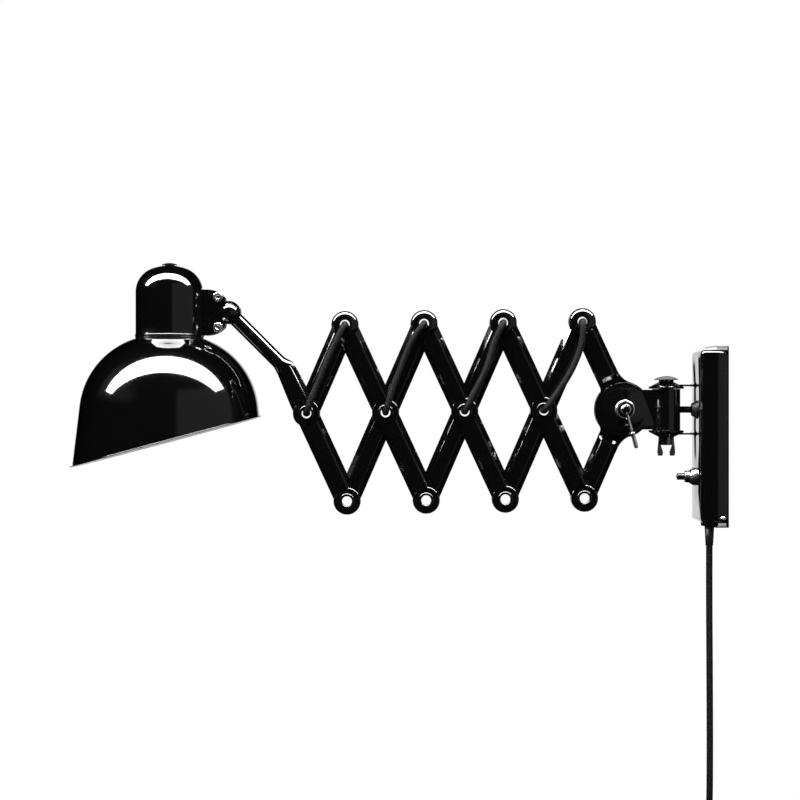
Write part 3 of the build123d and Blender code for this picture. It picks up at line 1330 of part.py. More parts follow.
def coil_tie():
    """Band round the turns of the coil where the cord enters and leaves it."""
    inner_r = COIL_OUTER_R - COIL_TURNS * COIL_PITCH / 2
    radial = coil_points[0] - Vector(coil_points[0].X, 0, COIL_CENTRE.Z)
    radial = radial.normalized()
    middle = COIL_CENTRE + radial * ((inner_r + COIL_OUTER_R) / 2)
    place = Plane(origin=middle, x_dir=radial, z_dir=radial.cross(Vector(1, 0, 0)))
    span = COIL_OUTER_R - inner_r + 2 * CORD_R + 4 * SEAT
    depth = COIL_PITCH + 2 * CORD_R + 2 * SEAT
    outline = RectangleRounded(span + 2 * TIE_SHEET, depth + 2 * TIE_SHEET, CORD_R + TIE_SHEET)
    hole = RectangleRounded(span, depth, CORD_R)
    return place * extrude(outline - hole, TIE_WIDTH / 2, both=True)


def plug_body():
    """Flat two-pin plug that hangs from the cord's end."""
    place = Plane(origin=PLUG_TOP, x_dir=(0, 1, 0), z_dir=(0, 0, -1))
    shoulder = 0.4 * PLUG_LENGTH
    top = place * RectangleRounded(3.2 * CORD_R, 3.2 * CORD_R, 1.4 * CORD_R)
    wide = RectangleRounded(PLUG_WIDTH, PLUG_THICKNESS, PLUG_THICKNESS / 3)
    neck = loft([top, place * Pos(0, 0, shoulder) * wide])
    block = place * Pos(0, 0, shoulder) * extrude(wide, PLUG_LENGTH - shoulder)
    return neck + block


def plug_pins():
    """Two round pins."""
    face = PLUG_TOP + DOWN * PLUG_LENGTH
    pins = []
    for side in (-1, 1):
        root = face + Vector(0, side * PIN_SPACING / 2, 0)
        pin = rod(root, root + DOWN * PIN_LENGTH, PIN_R)
        pins.append(fillet(pin.edges().sort_by(Axis.Z)[0], 0.45 * PIN_R))
    return pins


save("coil_tie", coil_tie())
save("plug_body", plug_body())
save("plug_pins", *plug_pins())
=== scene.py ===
# %% [markdown]
# # A scissor wall lamp in black lacquer
# The lamp is pressed sheet steel under a deep gloss lacquer, with a few chrome fittings and a
# cloth-covered flex. Its construction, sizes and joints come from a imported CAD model, and this
# script gives every piece the surface that the real one has. Nearly everything is worked out with
# numpy as a grid of points, because pressed and turned metal is easiest to describe by a profile.

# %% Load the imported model
import json
import math

import bmesh
import bpy
import numpy as np
from mathutils import Matrix, Vector


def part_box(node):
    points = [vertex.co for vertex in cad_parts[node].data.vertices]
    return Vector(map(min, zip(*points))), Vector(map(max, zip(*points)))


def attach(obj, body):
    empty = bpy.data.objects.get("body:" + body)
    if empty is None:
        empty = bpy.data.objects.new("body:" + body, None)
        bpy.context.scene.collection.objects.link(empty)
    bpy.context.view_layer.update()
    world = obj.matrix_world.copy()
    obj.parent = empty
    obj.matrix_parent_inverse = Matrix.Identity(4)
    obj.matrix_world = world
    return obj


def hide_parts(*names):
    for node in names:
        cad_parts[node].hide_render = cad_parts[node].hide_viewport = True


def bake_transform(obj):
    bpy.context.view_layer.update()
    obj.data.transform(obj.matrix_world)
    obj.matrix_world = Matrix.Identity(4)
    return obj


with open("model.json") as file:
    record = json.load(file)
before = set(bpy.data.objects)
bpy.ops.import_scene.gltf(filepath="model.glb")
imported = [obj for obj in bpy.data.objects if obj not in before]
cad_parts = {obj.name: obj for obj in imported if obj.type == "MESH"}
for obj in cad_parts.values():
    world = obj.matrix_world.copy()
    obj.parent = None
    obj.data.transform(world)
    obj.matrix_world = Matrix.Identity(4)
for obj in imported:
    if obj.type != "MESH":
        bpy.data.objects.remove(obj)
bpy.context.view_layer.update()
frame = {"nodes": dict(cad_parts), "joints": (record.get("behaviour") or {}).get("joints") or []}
nodes = frame["nodes"]
joints = {joint["name"]: joint for joint in frame["joints"]}

# %% [markdown]
# ## Places that everything hangs on
# The pivots of the arm are joints of the model, so their places are read from it and never typed
# in. X runs into the wall, Z is up, and the side that faces the camera is -Y. Sizes are written in
# millimetres and multiplied by MM.

# %% Pivots
MM = 0.001
RIGHT, DEEP, UP = np.eye(3)
CROSSINGS = (4, 3, 2, 1)


def pivot(name):
    """Place of a joint of the model in the arm's own plane, in metres."""
    return np.array(joints[name]["pos_m"]) * (1, 0, 1)


def corner_box(node):
    """Lowest and highest corner of a CAD node as arrays."""
    low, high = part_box(node)
    return np.array(low), np.array(high)


def unit(vector):
    """The vector's direction, with length 1."""
    return vector / np.linalg.norm(vector, axis=-1, keepdims=True)


HUB = pivot("arm_tilt")
SWIVEL = pivot("swivel")
HEAD_Y = 2.6
BALL = pivot("shade_tilt") + DEEP * HEAD_Y * MM
MID = {k: pivot(f"pivot_mid_{k}") for k in CROSSINGS}
TOP = {k: pivot(f"pivot_top_{k}") for k in (3, 2, 1)}
TOP[4] = pivot("scissor_extend")
LOW = {k - 1: 2 * MID[k] - TOP[k] for k in CROSSINGS if k > 1}
LOW[4] = 2 * MID[4] - TOP[3]
ARM_WAY = unit(MID[1] - LOW[1])
ELBOW = MID[1] + ARM_WAY * 51.3 * MM
TUBE_WAY = unit(pivot("shade_tilt") - ELBOW)
HALF_LINK = np.linalg.norm(TOP[4] - MID[4])
print("half link", round(HALF_LINK / MM, 2), "mm")

# %% [markdown]
# ## Camera
# The photograph is taken square to the arm from about two metres, so near and far pieces differ
# little in size. The camera looks level along +Y, and its place and lens were worked out from the
# size of the shade's rim and the wall plate.

# %% Camera
CAMERA_DISTANCE = 2.0
CAMERA_X = -0.3454
CAMERA_Z = 0.0385
LENS_MM = 84.3

camera_data = bpy.data.cameras.new("camera")
camera_data.lens = LENS_MM
camera_data.sensor_width = 36
camera = bpy.data.objects.new("camera", camera_data)
camera.location = (CAMERA_X, -CAMERA_DISTANCE, CAMERA_Z)
camera.rotation_euler = (math.radians(90), 0, 0)
bpy.context.scene.collection.objects.link(camera)
bpy.context.scene.camera = camera
print("camera", CAMERA_DISTANCE, "m away")

# %% [markdown]
# ## Shader maths as expressions
# A node tree is hard to read as a list of links, so a small class wraps a socket and lets the maths
# be written as a formula. One more class makes a material: its node() method adds any node, with
# its settings first and its sockets after.

# %% Shader expressions


class Value:
    """A number on its way through a shader. An operator on it adds its Math node."""

    def __init__(self, tree, socket):
        self.tree = tree
        self.socket = socket

    def maths(self, operation, *others):
        """Adds one Math node that works on this value and the others."""
        node = self.tree.nodes.new("ShaderNodeMath")
        node.operation = operation
        for place, value in enumerate((self, *others)):
            if isinstance(value, Value):
                self.tree.links.new(value.socket, node.inputs[place])
            else:
                node.inputs[place].default_value = value
        return Value(self.tree, node.outputs[0])

    def __add__(self, other):
        return self.maths("ADD", other)

    def __sub__(self, other):
        return self.maths("SUBTRACT", other)

    def __rsub__(self, other):
        return self.maths("MULTIPLY_ADD", -1.0, other)

    def __mul__(self, other):
        return self.maths("MULTIPLY", other)


class Shader:
    """A node tree being written. Every node except Math comes from node()."""

    def __init__(self, tree):
        self.tree = tree

    def node(self, kind, settings=None, output=0, **sockets):
        """Adds a node: its settings first, then its sockets, and returns one of its outputs."""
        node = self.tree.nodes.new("ShaderNode" + kind)
        for name, value in (settings or {}).items():
            setattr(node, name, value)
        for name, value in sockets.items():
            self.feed(node.inputs[name.replace("_", " ")], value)
        return Value(self.tree, node.outputs[output])

    def feed(self, socket, value):
        """Gives a socket a number, a colour or a link."""
        if isinstance(value, Value):
            self.tree.links.new(value.socket, socket)
        else:
            socket.default_value = value

    def mix(self, amount, first, second):
        """Colour between two colours."""
        mixed = self.node("Mix", {"data_type": "RGBA"}, output=2, Factor=amount)
        for place, color in ((6, first), (7, second)):
            mixed.socket.node.inputs[place].default_value = (*color, 1)
        return mixed


class Finish(Shader):
    """A material being written: one Principled shader, with nodes in front of it."""

    def __init__(self, name, color, **sockets):
        self.material = bpy.data.materials.new(name)
        self.material.use_nodes = True
        super().__init__(self.material.node_tree)
        self.shader = self.tree.nodes["Principled BSDF"]
        self.set("Base Color", (*color, 1))
        for socket, value in sockets.items():
            self.set(socket.replace("_", " "), value)

    def set(self, socket, value):
        """Gives one of the shader's sockets a number, a colour or a link."""
        self.feed(self.shader.inputs[socket], value)

    def noise(self, scale, detail=2.0):
        """Noise in object space, from 0 to 1, with its scale in waves per metre."""
        place = self.node("TexCoord", output="Object")
        return self.node("TexNoise", Vector=place, Scale=scale, Detail=detail)

    def bump(self, height, distance):
        """Bump from a height of 0 to 1, with its depth in metres."""
        self.set("Normal", self.node("Bump", Height=height, Distance=distance, Strength=1.0))


# %% [markdown]
# ## Finishes
# Black lacquer is a smooth black paint with a faint orange peel, so its reflections are sharp but
# never perfectly still. Chrome is almost a mirror with fine polishing marks. The flex has a braided
# cloth sleeve, whose crossing strands are a pattern on the tube's own map, so it follows every bend.

# %% Even finishes


def finish_of(name, color, roughness, bump, **sockets):
    """Finish of one colour. Its roughness is a number or (scale, detail, spread, least) of a noise,
    and its bump is (scale, detail, depth in metres)."""
    finish = Finish(name, color, **sockets)
    if isinstance(roughness, tuple):
        scale, detail, spread, least = roughness
        roughness = finish.noise(scale, detail) * spread + least
    finish.set("Roughness", roughness)
    scale, detail, depth = bump
    finish.bump(finish.noise(scale, detail), depth)
    return finish.material


LACQUER = finish_of("black lacquer", (0.0035, 0.0035, 0.0037), (38, 3.0, 0.05, 0.045), (420, 1.0, 0.000012),
                    IOR=1.5, Coat_Weight=0.35, Coat_Roughness=0.02)
ENAMEL = finish_of("white enamel", (0.83, 0.82, 0.79), 0.32, (300, 2.0, 0.00003), IOR=1.5)
CHROME = finish_of("chrome", (0.84, 0.84, 0.845), (160, 4.0, 0.12, 0.2), (2600, 1.0, 0.000004), Metallic=1.0)
STEEL = finish_of("plated steel", (0.5, 0.5, 0.5), (240, 5.0, 0.22, 0.2), (900, 3.0, 0.00002), Metallic=1.0)
RUBBER, BLACK_PLASTIC, PALE_PLASTIC = (
    finish_of(name, color, (90, 3.0, 0.1, roughness), (1500, 2.0, grain), IOR=1.48)
    for name, color, roughness, grain in (("black rubber", (0.012, 0.012, 0.012), 0.45, 0.00003),
                                          ("black plastic", (0.006, 0.006, 0.0065), 0.16, 0.00001),
                                          ("pale plastic", (0.72, 0.7, 0.63), 0.4, 0.00002)))
GLASS = finish_of("frosted glass", (0.9, 0.89, 0.86), 0.38, (4000, 1.0, 0.00001), IOR=1.45,
                  Subsurface_Weight=0.4, Subsurface_Radius=(0.01, 0.01, 0.01))
print("even finishes", 8)

# %% Worn steel and woven sleeve
STRANDS_AROUND = 16.0
STRANDS_PER_METRE = 900.0


def dark_steel_finish():
    """Black oxidised steel of the ball and its stem, a little worn to grey."""
    finish = Finish("black steel", (0.02, 0.02, 0.02), Metallic=0.6)
    wear = finish.noise(130, 5.0)
    finish.set("Base Color", finish.mix(wear, (0.006, 0.006, 0.006), (0.03, 0.03, 0.031)))
    finish.set("Roughness", wear * 0.12 + 0.12)
    return finish.material


def sleeve_finish():
    """Braided cloth sleeve. Two families of strands run round the tube, and each passes over the
    other at every second crossing. The tube's map holds turns across and metres along."""
    finish = Finish("braided sleeve", (0.01, 0.01, 0.01), IOR=1.17)
    spot = finish.node("UVMap", {"uv_map": "UVMap"})
    around = finish.node("SeparateXYZ", output=0, Vector=spot)
    along = finish.node("SeparateXYZ", output=1, Vector=spot)
    left = around * STRANDS_AROUND + along * STRANDS_PER_METRE
    right = around * STRANDS_AROUND - along * STRANDS_PER_METRE
    left_height = (left * math.pi).maths("SINE").maths("ABSOLUTE")
    right_height = (right * math.pi).maths("SINE").maths("ABSOLUTE")
    over = (left.maths("FLOOR") + right.maths("FLOOR")).maths("PINGPONG", 1.0)
    weave = left_height * over + right_height * (1 - over)
    fibre = finish.noise(5000, 2.0)
    # The base colour follows the strands' height: it is lighter on their crowns and darker in the grooves
    # between them, which is painted shade. The fibre noise adds the cloth's own random tone.
    finish.set("Base Color", finish.mix(weave * 0.7 + fibre * 0.3, (0.0006, 0.0006, 0.0006),
                                        (0.007, 0.007, 0.0072)))
    finish.set("Roughness", 0.56 - weave * 0.16)
    finish.bump(weave * 0.85 + fibre * 0.15, 0.00022)
    return finish.material


DARK_STEEL = dark_steel_finish()
SLEEVE = sleeve_finish()
print("materials", len(bpy.data.materials))

# %% [markdown]
# ## Surfaces from numpy
# Every new piece is a grid of points. One function turns grids into a mesh and merges the points
# where a grid meets itself, so seams and poles are closed. The others make the grids: a profile
# turned about an axis, a circle carried along a path, and an outline that rises from its edge.

# %% Mesh from grids


def finished(mesh, name, body, replaced):
    """Object for a finished mesh, riding on its body, with the CAD nodes that it stands for hidden."""
    piece = bpy.data.objects.new(name, mesh)
    bpy.context.scene.collection.objects.link(piece)
    if body:
        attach(piece, body)
    if replaced:
        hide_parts(*replaced)
    return piece


def surface(name, patches, body, *materials, slot=None, replaced=(), closed=True, sharp=None):
    """One mesh from grids. A patch is a dict with points (rows, columns, 3), and may have a map of
    two numbers for each point, a keep mask and a second mask for its faces. Edges over the sharp
    angle, in degrees, stay hard."""
    points, quads, spots, second = [], [], [], []
    start = 0
    for patch in patches:
        grid = patch["points"]
        rows, columns = grid.shape[:2]
        index = start + np.arange(rows * columns).reshape(rows, columns)
        faces = np.stack([index[:-1, :-1], index[1:, :-1], index[1:, 1:], index[:-1, 1:]], -1)
        keep = patch.get("keep", np.ones(faces.shape[:2], bool))
        points.append(grid.reshape(-1, 3))
        quads.append(faces[keep])
        spots.append(patch.get("map", np.zeros((rows, columns, 2))).reshape(-1, 2))
        second.append(patch.get("second", np.zeros(faces.shape[:2], bool))[keep])
        start += rows * columns
    quads = np.concatenate(quads)
    mesh = bpy.data.meshes.new(name)
    mesh.from_pydata(np.concatenate(points).tolist(), [], quads.tolist())
    layer = mesh.uv_layers.new(name="UVMap")
    layer.data.foreach_set("uv", np.concatenate(spots)[quads.ravel()].astype(np.float32).ravel())
    for material in materials:
        mesh.materials.append(material)
    mesh.polygons.foreach_set("material_index", np.concatenate(second).astype(np.int32))
    shape = bmesh.new()
    shape.from_mesh(mesh)
    bmesh.ops.remove_doubles(shape, verts=shape.verts, dist=2e-6)
    if closed:
        bmesh.ops.recalc_face_normals(shape, faces=shape.faces)
    for face in shape.faces:
        face.smooth = True
    shape.to_mesh(mesh)
    shape.free()
    if sharp:
        mesh.set_sharp_from_angle(angle=math.radians(sharp))
    return finished(mesh, name, body, replaced)


def sheet(piece, thickness):
    """Gives a skin the thickness of its sheet metal, inwards."""
    wall = piece.modifiers.new("sheet", "SOLIDIFY")
    wall.thickness = thickness * MM
    wall.offset = -1


def middles(*grids):
    """Value in the middle of each cell, for each grid of numbers."""
    return [(grid[:-1, :-1] + grid[1:, 1:]) / 2 for grid in grids]


# %% Profiles


def corner_arc(before, corner, after, radius, steps):
    """Arc of a radius that touches both sides of a corner, the two directions away from the corner,
    and how far from it the arc starts. With a turn of a, it is centre + (sin((1 - s) a) first +
    sin(s a) last) / sin(a)."""
    back, on = unit(before - corner), unit(after - corner)
    half = math.acos(np.clip(back @ on, -1, 1)) / 2
    reach = radius / math.tan(half)
    centre = corner + unit(back + on) * radius / math.sin(half)
    first, last = corner + back * reach - centre, corner + on * reach - centre
    turn = math.pi - 2 * half
    share = np.linspace(0, 1, steps + 1)[:, None]
    curve = centre + (np.sin((1 - share) * turn) * first + np.sin(share * turn) * last) / math.sin(turn)
    return curve, back, on, reach


def rounded(points, radii, steps=6):
    """Outline whose inner corners become arcs. Each arc touches both of its sides, and a point
    just outside each end of it keeps the shading of the flat sides flat."""
    points = np.asarray(points, float)
    radii = np.broadcast_to(radii, len(points) - 2)
    out = [points[0]]
    for before, corner, after, radius in zip(points[:-2], points[1:-1], points[2:], radii):
        curve, back, on, reach = corner_arc(before, corner, after, radius, steps)
        out += [corner + back * reach * 1.15, *curve, corner + on * reach * 1.15]
    out.append(points[-1])
    return np.array(out)


def arc(centre, radius, start, end, steps=12):
    """Points on a circle from one angle to another, in degrees."""
    angle = np.radians(np.linspace(start, end, steps + 1))
    return np.stack([centre[0] + radius * np.cos(angle), centre[1] + radius * np.sin(angle)], -1)


def axes_from(way, side=None):
    """Three directions at right angles, the last one along the way."""
    way = unit(np.asarray(way, float))
    if side is None:
        side = DEEP if abs(way @ DEEP) < 0.9 else RIGHT
    first = unit(side - way * (side @ way))
    return first, np.cross(way, first), way


def turned(outline, origin, way, count=72, angles=None):
    """Grid of a profile in millimetres, radius and height, turned about an axis: the point at an
    angle is the radius times the cosine and sine of it, plus the height along the axis."""
    first, second, third = axes_from(way, RIGHT if abs(way[0]) < 0.9 else UP)
    if angles is None:
        angles = np.linspace(0, 360, count + 1)
    angle = np.radians(angles)[:, None, None]
    radius = outline[None, :, 0, None] * MM
    height = outline[None, :, 1, None] * MM
    around = np.cos(angle) * first + np.sin(angle) * second
    return {"points": origin + radius * around + height * third}


# %% Paths


def along_spline(points):
    """Points read from a smooth spline whose control points are the route's points, in metres."""
    data = bpy.data.curves.new("route", "CURVE")
    data.dimensions = "3D"
    data.resolution_u = 6
    spline = data.splines.new("NURBS")
    spline.points.add(len(points) - 1)
    for place, point in zip(spline.points, points):
        place.co = (*point, 1)
    spline.order_u = 3
    spline.use_endpoint_u = True
    holder = bpy.data.objects.new("route", data)
    bpy.context.scene.collection.objects.link(holder)
    mesh = bpy.data.meshes.new_from_object(holder)
    line = np.zeros(len(mesh.vertices) * 3)
    mesh.vertices.foreach_get("co", line)
    bpy.data.objects.remove(holder)
    bpy.data.curves.remove(data)
    bpy.data.meshes.remove(mesh)
    return line.reshape(-1, 3)


def length_along(line):
    """Distance from the start to each point of a line."""
    steps = np.linalg.norm(np.diff(line, axis=0), axis=1)
    return np.concatenate([[0], np.cumsum(steps)])


def carried(line, radius, sides=20, capped=True):
    """Grid of a circle carried along a line. The circle is square to the line, and it is turned
    from point to point by the line's own bend alone, so it never twists. A cap closes each end."""
    ways = unit(np.gradient(line, axis=0))
    sides_at = [axes_from(ways[0])[0]]
    for way in ways[1:]:
        sides_at.append(unit(sides_at[-1] - way * (sides_at[-1] @ way)))
    first = np.array(sides_at)[:, None, :]
    second = np.cross(ways, np.array(sides_at))[:, None, :]
    angle = np.linspace(0, 2 * math.pi, sides + 1)[None, :, None]
    radii = np.broadcast_to(radius, len(line))[:, None, None]
    grid = line[:, None, :] + radii * (np.cos(angle) * first + np.sin(angle) * second)
    run = np.broadcast_to(length_along(line)[:, None], grid.shape[:2])
    turns = np.broadcast_to(np.linspace(0, 1, sides + 1)[None, :], grid.shape[:2])
    spots = np.stack([turns, run], -1)
    if capped:
        ends = [np.broadcast_to(line[i], (1, sides + 1, 3)) for i in (0, -1)]
        grid = np.concatenate([ends[0], grid, ends[1]])
        spots = np.concatenate([spots[:1], spots, spots[-1:]])
    return {"points": grid, "map": spots}


# %% Softened copies of CAD nodes


def softened(node, body, material, width=0.3, angle=30):
    """Copy of a CAD node whose hard edges get a small round. Its loose triangles are merged, flat
    ones are joined into whole faces, and a Bevel modifier works on the edges that are left."""
    mesh = nodes[node].data.copy()
    mesh.materials.clear()
    mesh.materials.append(material)
    shape = bmesh.new()
    shape.from_mesh(mesh)
    bmesh.ops.remove_doubles(shape, verts=shape.verts, dist=1e-6)
    bmesh.ops.dissolve_limit(shape, angle_limit=math.radians(0.4), verts=shape.verts, edges=shape.edges)
    bmesh.ops.recalc_face_normals(shape, faces=shape.faces)
    for face in shape.faces:
        face.smooth = True
        face.material_index = 0
    shape.to_mesh(mesh)
    shape.free()
    mesh.set_sharp_from_angle(angle=math.radians(angle))
    piece = finished(mesh, f"{node}_softened", body, (node,))
    bevel = piece.modifiers.new("edge", "BEVEL")
    bevel.width = width * MM
    bevel.segments = 2
    bevel.limit_method = "ANGLE"
    bevel.angle_limit = math.radians(angle)
    bevel.harden_normals = True
    return piece


# %% [markdown]
# ## The mains cord
# The cord leaves the gland under the cover and hangs straight down, out of the picture. The rest of
# its two metres is wound into a neat coil of two layers, held by a tie, with the plug beside it. It
# is one spline, whose points in the coil come from the spiral's formula: the radius shrinks by one
# pitch a turn towards the middle, the line climbs over to the second layer, and it grows again.

# %% Cord route
CORD_R = 3.5
COIL_OUTER_R = 51.2
COIL_PITCH = 7.6
COIL_TURNS = 6
COIL_TOP_Z = -410.0
COIL_DROP = 90.0
COIL_LEAD = 30.0
COIL_TAIL = 28.0
RELIEF_LENGTH = 0.024
RELIEF_RADII = (5.2 * MM, 3.9 * MM)
POINTS_PER_TURN = 24
GLAND_LOW, GLAND_HIGH = corner_box("cord_gland")
GLAND = np.array([(GLAND_LOW[0] + GLAND_HIGH[0]) / 2, 0, GLAND_LOW[2]]) / MM
COIL_CENTRE = np.array([GLAND[0] + COIL_PITCH / 2, 0, COIL_TOP_Z - COIL_DROP])
TIE_ANGLE = math.acos(COIL_OUTER_R / COIL_DROP)


def on_coil(turns):
    """Points of the coil's middle line at some turns from its start, in millimetres."""
    half = COIL_TURNS / 2
    radius = COIL_OUTER_R - COIL_PITCH * (half - np.abs(turns - half))
    climb = np.clip((turns - half) * 4, -1, 1) * COIL_PITCH / 2
    angle = TIE_ANGLE + 2 * math.pi * turns
    spiral = np.stack([climb, radius * np.sin(angle), radius * np.cos(angle)], -1)
    return COIL_CENTRE + spiral


turns = np.linspace(0, COIL_TURNS, COIL_TURNS * POINTS_PER_TURN + 1)
coil = on_coil(turns)
coil_in = unit(on_coil(np.array(0.001)) - coil[0])
coil_out = unit(coil[-1] - on_coil(np.array(COIL_TURNS - 0.001)))
cord_bend = coil[0] - coil_in * (coil[0][1] / coil_in[1])
plug_low, plug_top = np.array(corner_box("plug_body")) / MM
plug_centre = (plug_low + plug_top) / 2
plug_mouth = np.array([plug_centre[0], plug_centre[1], plug_top[2]])
cord_points = [
    GLAND,
    GLAND + (-0.3, 0, -64.1),
    GLAND + (0.3, 0, -159.1),
    GLAND + (0.6, 0, -250.1),
    cord_bend,
    coil[0] - coil_in * COIL_LEAD,
    *coil,
    coil[-1] + coil_out * COIL_TAIL,
    plug_mouth + UP * 14,
    plug_mouth - UP,
]
cord_line = along_spline(np.array(cord_points) * MM)
cord_length = length_along(cord_line)[-1]
print("cord length", round(cord_length, 3), "m")

# %% Cord and its tube
cord = surface("mains_cord_sleeve", [carried(cord_line, CORD_R * MM, 18)], "wall_unit", SLEEVE,
               replaced=("mains_cord", "cord_coil"))
run = length_along(cord_line)
for name, line in (("gland_relief", cord_line[run < RELIEF_LENGTH]),
                   ("plug_relief", cord_line[cord_length - run < RELIEF_LENGTH][::-1])):
    thick = np.interp(length_along(line), [0, RELIEF_LENGTH], RELIEF_RADII)
    surface(name, [carried(line, thick, 24)], "wall_unit", RUBBER)
plug = softened("plug_body", "wall_unit", BLACK_PLASTIC, 0.6)
tie = softened("coil_tie", "wall_unit", BLACK_PLASTIC, 0.3)

# %% [markdown]
# ## Studio
# Glossy black shows nothing but its surroundings, so the light is made of shapes: one long strip
# overhead gives each rounded edge its bright line, a white wall behind gives the thin bright rims,
# and the side of the camera stays dark. A soft light without reflections fills what isn't glossy.

# %% World


def studio_world():
    """White straight behind the lamp, a dim grey card to the right and one high on the left, and
    black elsewhere. Each one is a product of soft steps of the direction. Matt surfaces get an even
    light besides, and the camera sees plain white."""
    world = bpy.data.worlds.new("studio")
    bpy.context.scene.world = world
    world.use_nodes = True
    shader = Shader(world.node_tree)
    way = shader.node("TexCoord", output="Generated")
    across, depth, height = (shader.node("SeparateXYZ", output=axis, Vector=way) for axis in range(3))
    seen = shader.node("LightPath", output="Is Camera Ray")

    def step(value, start, end):
        """Soft step from 0 at the start to 1 at the end."""
        return shader.node("MapRange", {"interpolation_type": "SMOOTHSTEP"}, Value=value, From_Min=start,
                           From_Max=end)

    behind = step(depth, 0.925, 0.975)
    level = step(height, -0.4, -0.25) * step(height, 0.66, 0.5)
    right = step(across, 0.2, 0.34) * step(depth, 0.12, 0.0) * level
    left = step(across, -0.5, -0.8) * step(depth, 0.3, 0.15) * step(height, 0.2, 0.4)
    matt = shader.node("LightPath", output="Is Diffuse Ray")
    light = seen + (1 - seen) * (behind + right * 0.2 + left * 0.13 + matt * 0.4)
    background = world.node_tree.nodes["Background"]
    background.inputs["Color"].default_value = (1, 1, 1, 1)
    world.node_tree.links.new(light.socket, background.inputs["Strength"])


studio_world()

# %% Lamps and floor


def softbox(name, place, aim, size, power, seen_by):
    """Rectangular light at a place that faces another place. It is seen in gloss, in matt or both."""
    data = bpy.data.lights.new(name, "AREA")
    data.shape = "RECTANGLE"
    data.size, data.size_y = size
    data.energy = power
    light = bpy.data.objects.new(name, data)
    first, second, third = axes_from(np.subtract(place, aim), RIGHT)
    turn = np.eye(4)
    turn[:3, :3] = np.stack([first, second, third], 1)
    turn[:3, 3] = place
    light.matrix_world = Matrix(turn.tolist())
    light.visible_camera = False
    light.visible_glossy = "gloss" in seen_by
    light.visible_diffuse = "matt" in seen_by
    bpy.context.scene.collection.objects.link(light)


softbox("overhead strip", (-0.9, -0.35, 1.15), (-0.9, -0.35, 0.0), (4.8, 0.6), 410, ["gloss"])
softbox("soft fill", (-0.6, -1.6, 1.3), (-0.4, 0.0, 0.0), (2.4, 1.6), 34, ["matt"])


def floor():
    """Pale floor well below the lamp. From underneath it is clear, and gloss doesn't mirror it."""
    data = bpy.data.meshes.new("floor")
    x, y, z = (-3.0, 2.2), (-2.6, 1.4), -0.75
    data.from_pydata([(x[i], y[j], z) for j in (0, 1) for i in (0, 1)], [], [(0, 1, 3, 2)])
    piece = bpy.data.objects.new("floor", data)
    finish = Finish("pale floor", (0.8, 0.8, 0.8))
    facing = finish.node("NewGeometry", output="Backfacing")
    finish.set("Alpha", 1 - facing)
    finish.set("Roughness", finish.noise(3.0) * 0.1 + 0.65)
    data.materials.append(finish.material)
    piece.visible_glossy = False
    bpy.context.scene.collection.objects.link(piece)


floor()
bpy.context.scene.view_settings.view_transform = "Standard"

# %% [markdown]
# ## Pressed channel links
# Each link is a strip of sheet pressed into a shallow channel: a flat web, two sloping sides and a
# round pad at every pivot. It could be one height field, but round pads on a square grid get ragged
# highlights. So the channel is one grid along the link and each pad is a profile turned about its
# pivot. The sheet's thickness comes from a Solidify modifier, and the open edge is then cut flat.

# %% Link sizes
FRONT_EDGE_Y = -1.0
REAR_EDGE_Y = 6.8
CHANNEL_DEPTH = 6.0
HALF_WIDTH = 12.3
BEVEL = 5.8
SHEET = 1.5
PAD_R = 14.5
PAD_EDGE = 1.8
PIVOT_BORE_R = 6.05
FULL = HALF_LINK / MM
OUT = -DEEP


def lesser(first, second, softness=1.0):
    """Smooth minimum of two heights. Within the softness of each other they blend by
    f (1 - g) + s g - k g (1 - g), which rounds the crease."""
    share = np.clip(0.5 + 0.5 * (first - second) / softness, 0, 1)
    return first * (1 - share) + second * share - softness * share * (1 - share)


def on_link(start, end, edge_y, along, across, height):
    """Grid of a link's own millimetres put in its place: along it, across it and out of its open
    edge towards the front."""
    way = unit(end - start)
    side = np.cross(way, DEEP)
    spots = along[..., None] * way + across[..., None] * side - (height - edge_y)[..., None] * DEEP
    return start + spots * MM


def channel(start, end, edge_y, first, last, stations, ramp=False):
    """Channel from one distance along the link to another. Its height is the least of the web's
    height, the slope of its sides and, at a closed end, a ramp. Round each station it is left out."""
    half = np.concatenate([[0, 3], np.linspace(5.3, 7.7, 9), [9.5, HALF_WIDTH]])
    along = np.arange(first, last, 1.0 if not ramp else 0.5)
    across = np.concatenate([-half[:0:-1], half])
    along, across = np.meshgrid(np.append(along, last), across, indexing="ij")
    slope = CHANNEL_DEPTH / BEVEL
    height = lesser(CHANNEL_DEPTH + 0 * across, (HALF_WIDTH - np.abs(across)) * slope)
    if ramp:
        height = lesser(height, (along - first) * slope)
    middle = middles(along, across)
    keep = np.ones(middle[0].shape, bool)
    for station in stations:
        keep &= np.hypot(middle[0] - station, middle[1]) > PAD_R - PAD_EDGE - 0.7
    return {"points": on_link(start, end, edge_y, along, across, np.maximum(height, 0)), "keep": keep}


def pad(pivot_at, edge_y):
    """Round pad at a pivot: its wall, a rounded edge and a flat top down to the bore."""
    knee = arc((PAD_R - PAD_EDGE, CHANNEL_DEPTH - PAD_EDGE), PAD_EDGE, 0, 90, 10)
    outline = np.array([(PAD_R, 0), (PAD_R, 3.9), *knee, (PAD_R - PAD_EDGE - 0.3, CHANNEL_DEPTH),
                        (PIVOT_BORE_R, CHANNEL_DEPTH)])
    return turned(outline, pivot_at + DEEP * edge_y * MM, OUT)


